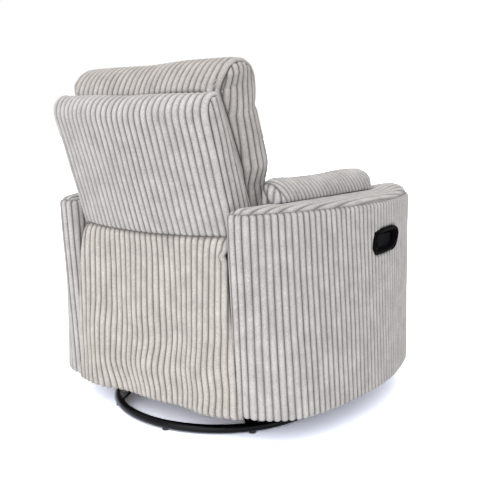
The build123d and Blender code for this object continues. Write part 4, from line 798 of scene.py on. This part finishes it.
def skirt():
    """Rows hang from the panel's crowned lower edge to the hem, which is rolled under and hangs lower on
    the crests. Sideways waves shift the ribs in the lower half, broad folds move the cloth in and out the
    more the lower it hangs, and the sitter's right side is bunched under the seam. At the sides the cloth
    turns through half a circle, and on the upper right through less, so that it is tucked in beside the
    arm."""
    top, low = 0.5715, ARM_LOW + 0.002
    fold, roll, roll_share = 0.007, 0.010, 0.03
    down = np.concatenate([[-0.010, -0.004], np.linspace(0, 1, 76), 1 + np.linspace(0.006, roll_share, 6)])
    across = np.arange(-0.325, 0.3251, 0.0025)
    d, a = np.meshgrid(down.clip(0, 1), across, indexing="ij")
    left_half = np.interp(d, (0, 0.07, 0.15, 0.31, 0.5, 0.7, 0.87, 1),
                          (0.256, 0.259, 0.263, 0.273, 0.282, 0.286, 0.290, 0.301))
    right_half = np.interp(d, (0, 0.07, 0.29, 0.51, 0.73, 1), (0.256, 0.258, 0.264, 0.272, 0.284, 0.295))
    width = np.where(a > 0, left_half, right_half)
    spare = np.clip(np.abs(a) - (width - fold), 0, None)
    full_turn = np.where(a > 0, math.pi, np.interp(d, (0.50, 0.75), (2.0, math.pi)))
    turned = np.minimum(spare / fold, full_turn)
    flat = np.clip(spare - fold * full_turn, 0, None)
    x = np.minimum(np.abs(a), width - fold) + fold * np.sin(turned) + flat * np.cos(full_turn)
    x = np.sign(a) * x
    bow = np.clip(1 - (x / width) ** 2, 0, 1)
    sides = 0.303 + 0.027 * (1 - np.exp(-d / 0.05)) - 0.010 * d ** 6
    y = AXIS_Y + sides * (1 - bow) + (0.321 + 0.011 * np.exp(-d / 0.08) + 0.006 * d * d) * bow
    y = y - fold * (1 - np.cos(turned)) - flat * np.sin(full_turn)
    z = top - 0.0075 * bow * (1 - d) + (low - top) * d
    wave = np.clip((d - 0.35) / 0.5, 0, 1) ** 1.5
    x = x + wave * (0.013 * np.sin(d * 11.5 + x * 4.0 - 1.2) * np.exp(-((x - 0.12) / 0.13) ** 2)
                    + 0.005 * np.sin(d * 17 - x * 9.0)) * np.clip(4 - np.abs(x) / 0.075, 0, 1)
    y = y + np.clip(d * 1.6, 0, 1) * (0.0055 * np.sin(x * 31 + d * 1.6)
                                      + 0.004 * np.sin(x * 17 - d * 3.0 + 1.0) + 0.003 * waver(x, z, 0.2))
    bunch = np.exp(-((x + 0.254) / 0.010) ** 2 - ((d - 0.085) / 0.040) ** 2)
    y = y + 0.010 * bunch
    x = x + 0.006 * bunch * np.sin(d * 70)
    pinch = np.exp(-(d / 0.02) ** 2)
    y = y - 0.002 * pinch
    crest = ribs(a + RIB / 2)
    hem = np.clip(down - 1, 0, None)[:, None] / roll_share * math.pi * 0.85
    y = y - roll * (1 - np.cos(hem)) * np.sign(hem)
    z = z - roll * np.sin(hem) - 0.004 * crest * np.clip((down - 0.95) / 0.05, 0, 1)[:, None]
    y[:2] -= 0.004
    z[:2] += np.array((0.004, 0.002))[:, None]
    pile = crest * (1 - 0.9 * pinch) * np.clip(1.5 - hem / 2.2, 0.2, 1)
    pile = pile * (0.92 + 0.08 * waver(a, z, 0.1)) * np.clip(1 - flat / 0.01, 0.3, 1)
    grid = np.dstack([x, y, z])
    piece = sewn("skirt_cloth", [(grid, pile, None)], None, painted_light_plush, ["back_skirt"])
    thick = piece.modifiers.new("backing", "SOLIDIFY")
    thick.thickness, thick.offset = 0.003, -1
    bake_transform(piece)


skirt()


# Footrest pad. Foam on the footrest board in the same boxed plush, with upright ribs that carry on the
# seat's. Its rear lies on the board; the section is given as (y, z), with y from that rear.
foot_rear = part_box("footrest_pad")[1].y
foot_section = np.array(((0.0, 0.158), (0.0, 0.398), (-0.0055, 0.407), (-0.0255, 0.405), (-0.0415, 0.394),
                         (-0.0525, 0.365), (-0.0570, 0.320), (-0.0580, 0.277), (-0.0570, 0.235),
                         (-0.0525, 0.190), (-0.0415, 0.161), (-0.0255, 0.150), (-0.0055, 0.148)))
foot_section = foot_section + (foot_rear - 0.0005, 0)
foot = boxed(foot_section, 0.007, lambda y, z: 0.263 + 0 * z, lambda y, z: 0.016 + 0 * z, 61, 27,
             lambda y, z: foot_rear - y, lambda x, y, z: np.stack([x, y, z], axis=-1),
             lambda y, z: np.clip((foot_rear - 0.006 - y) / 0.01, 0, 1))
sewn("footrest_pad_cloth", stuffed(*foot), "footrest", grey_plush, ["footrest_pad"])


# Studio. A white floor that keeps a soft, slightly blue shadow, white surroundings, a wide soft lamp behind
# the camera's left shoulder, and a faint one from its right.
floor_mesh = bpy.data.meshes.new("studio_floor")
reach = 30
floor_mesh.from_pydata([(-reach, -reach, 0), (reach, -reach, 0), (reach, reach, 0), (-reach, reach, 0)], [],
                       [(0, 1, 2, 3)])
floor = bpy.data.objects.new("studio_floor", floor_mesh)
bpy.context.scene.collection.objects.link(floor)
paper, tree = new_finish("white_paper_floor")
path = add(tree, "LightPath").outputs
seen = add(tree, "Math", {0: path["Is Camera Ray"], 1: path["Is Glossy Ray"]}, operation="ADD")
seen = add(tree, "Math", {0: seen.outputs[0], 1: path["Is Transmission Ray"]}, operation="ADD",
           use_clamp=True)
# Brighter than white to the eye, so that only the shadow is left; its bounced light is that of plain paper.
shown = add(tree, "BsdfDiffuse", {"Color": (2.55, 2.70, 3.10, 1)})
lit = add(tree, "BsdfDiffuse", {"Color": linear("#E8E8EA")})
both = add(tree, "MixShader", {0: seen.outputs[0], 1: lit.outputs[0], 2: shown.outputs[0]})
add(tree, "OutputMaterial", {"Surface": both.outputs[0]})
floor_mesh.materials.append(paper)

# Surroundings: white to the eye, and for light dimmer and a little warmer overhead.
world = bpy.data.worlds.new("white_studio")
bpy.context.scene.world = world
world.use_nodes = True
tree = world.node_tree
tree.nodes.clear()
path = add(tree, "LightPath").outputs
seen = add(tree, "Math", {0: path["Is Camera Ray"], 1: path["Is Glossy Ray"]}, operation="ADD")
seen = add(tree, "Math", {0: seen.outputs[0], 1: path["Is Transmission Ray"]}, operation="ADD",
           use_clamp=True)
power = add(tree, "MapRange", {"Value": seen.outputs[0], "To Min": 0.60, "To Max": 1.0})
height = add(tree, "SeparateXYZ", {0: add(tree, "TexCoord").outputs["Generated"]}).outputs["Z"]
warmth = add(tree, "MapRange", {"Value": height, "From Min": 0.1, "From Max": 0.9})
cool_sky, warm_sky = (0.98, 0.99, 1.0, 1), (1.00, 0.92, 0.84, 1)
tint = add(tree, "Mix", {SHARE: warmth.outputs[0], FIRST: cool_sky, SECOND: warm_sky}, data_type="RGBA")
tint = add(tree, "Mix", {SHARE: seen.outputs[0], FIRST: tint.outputs[MIXED], SECOND: (1, 1, 1, 1)},
           data_type="RGBA")
sky = add(tree, "Background", {"Color": tint.outputs[MIXED], "Strength": power.outputs[0]})
add(tree, "OutputWorld", {"Surface": sky.outputs[0]})

# Lamps: the way their light goes, their strength and how wide they look, in degrees.
for name, way, power, wide in (("window_lamp", (0.22, -0.95, -0.57), 1.72, 60),
                               ("low_lamp", (0.95, -0.25, -0.35), 0.07, 40)):
    lamp = bpy.data.lights.new(name, "SUN")
    lamp.energy, lamp.angle = power, math.radians(wide)
    holder = bpy.data.objects.new(name, lamp)
    aim = np.array(way) / np.linalg.norm(way)
    side = np.cross(aim, (0, 0, 1))
    side /= np.linalg.norm(side)
    holder.matrix_world = Matrix(np.column_stack([side, np.cross(side, aim), -aim]).tolist()).to_4x4()
    bpy.context.scene.collection.objects.link(holder)

# Camera, fitted to the photograph: its lens, the ways ahead and to its right, and where it stands.
camera = bpy.data.objects.new("camera", bpy.data.cameras.new("camera"))
camera.data.lens, camera.data.sensor_width = 57.13, 36
ahead = np.array((0.57115, -0.80615, -0.15463))
aside = np.array((-0.81589, -0.57820, 0.00083))
turn = Matrix(np.column_stack([aside, np.cross(aside, ahead), -ahead]).tolist()).to_4x4()
camera.matrix_world = Matrix.Translation((-1.4041, 1.8737 + AXIS_Y, 0.8657)) @ turn
bpy.context.scene.collection.objects.link(camera)
bpy.context.scene.camera = camera
bpy.context.scene.view_settings.view_transform = "Standard"
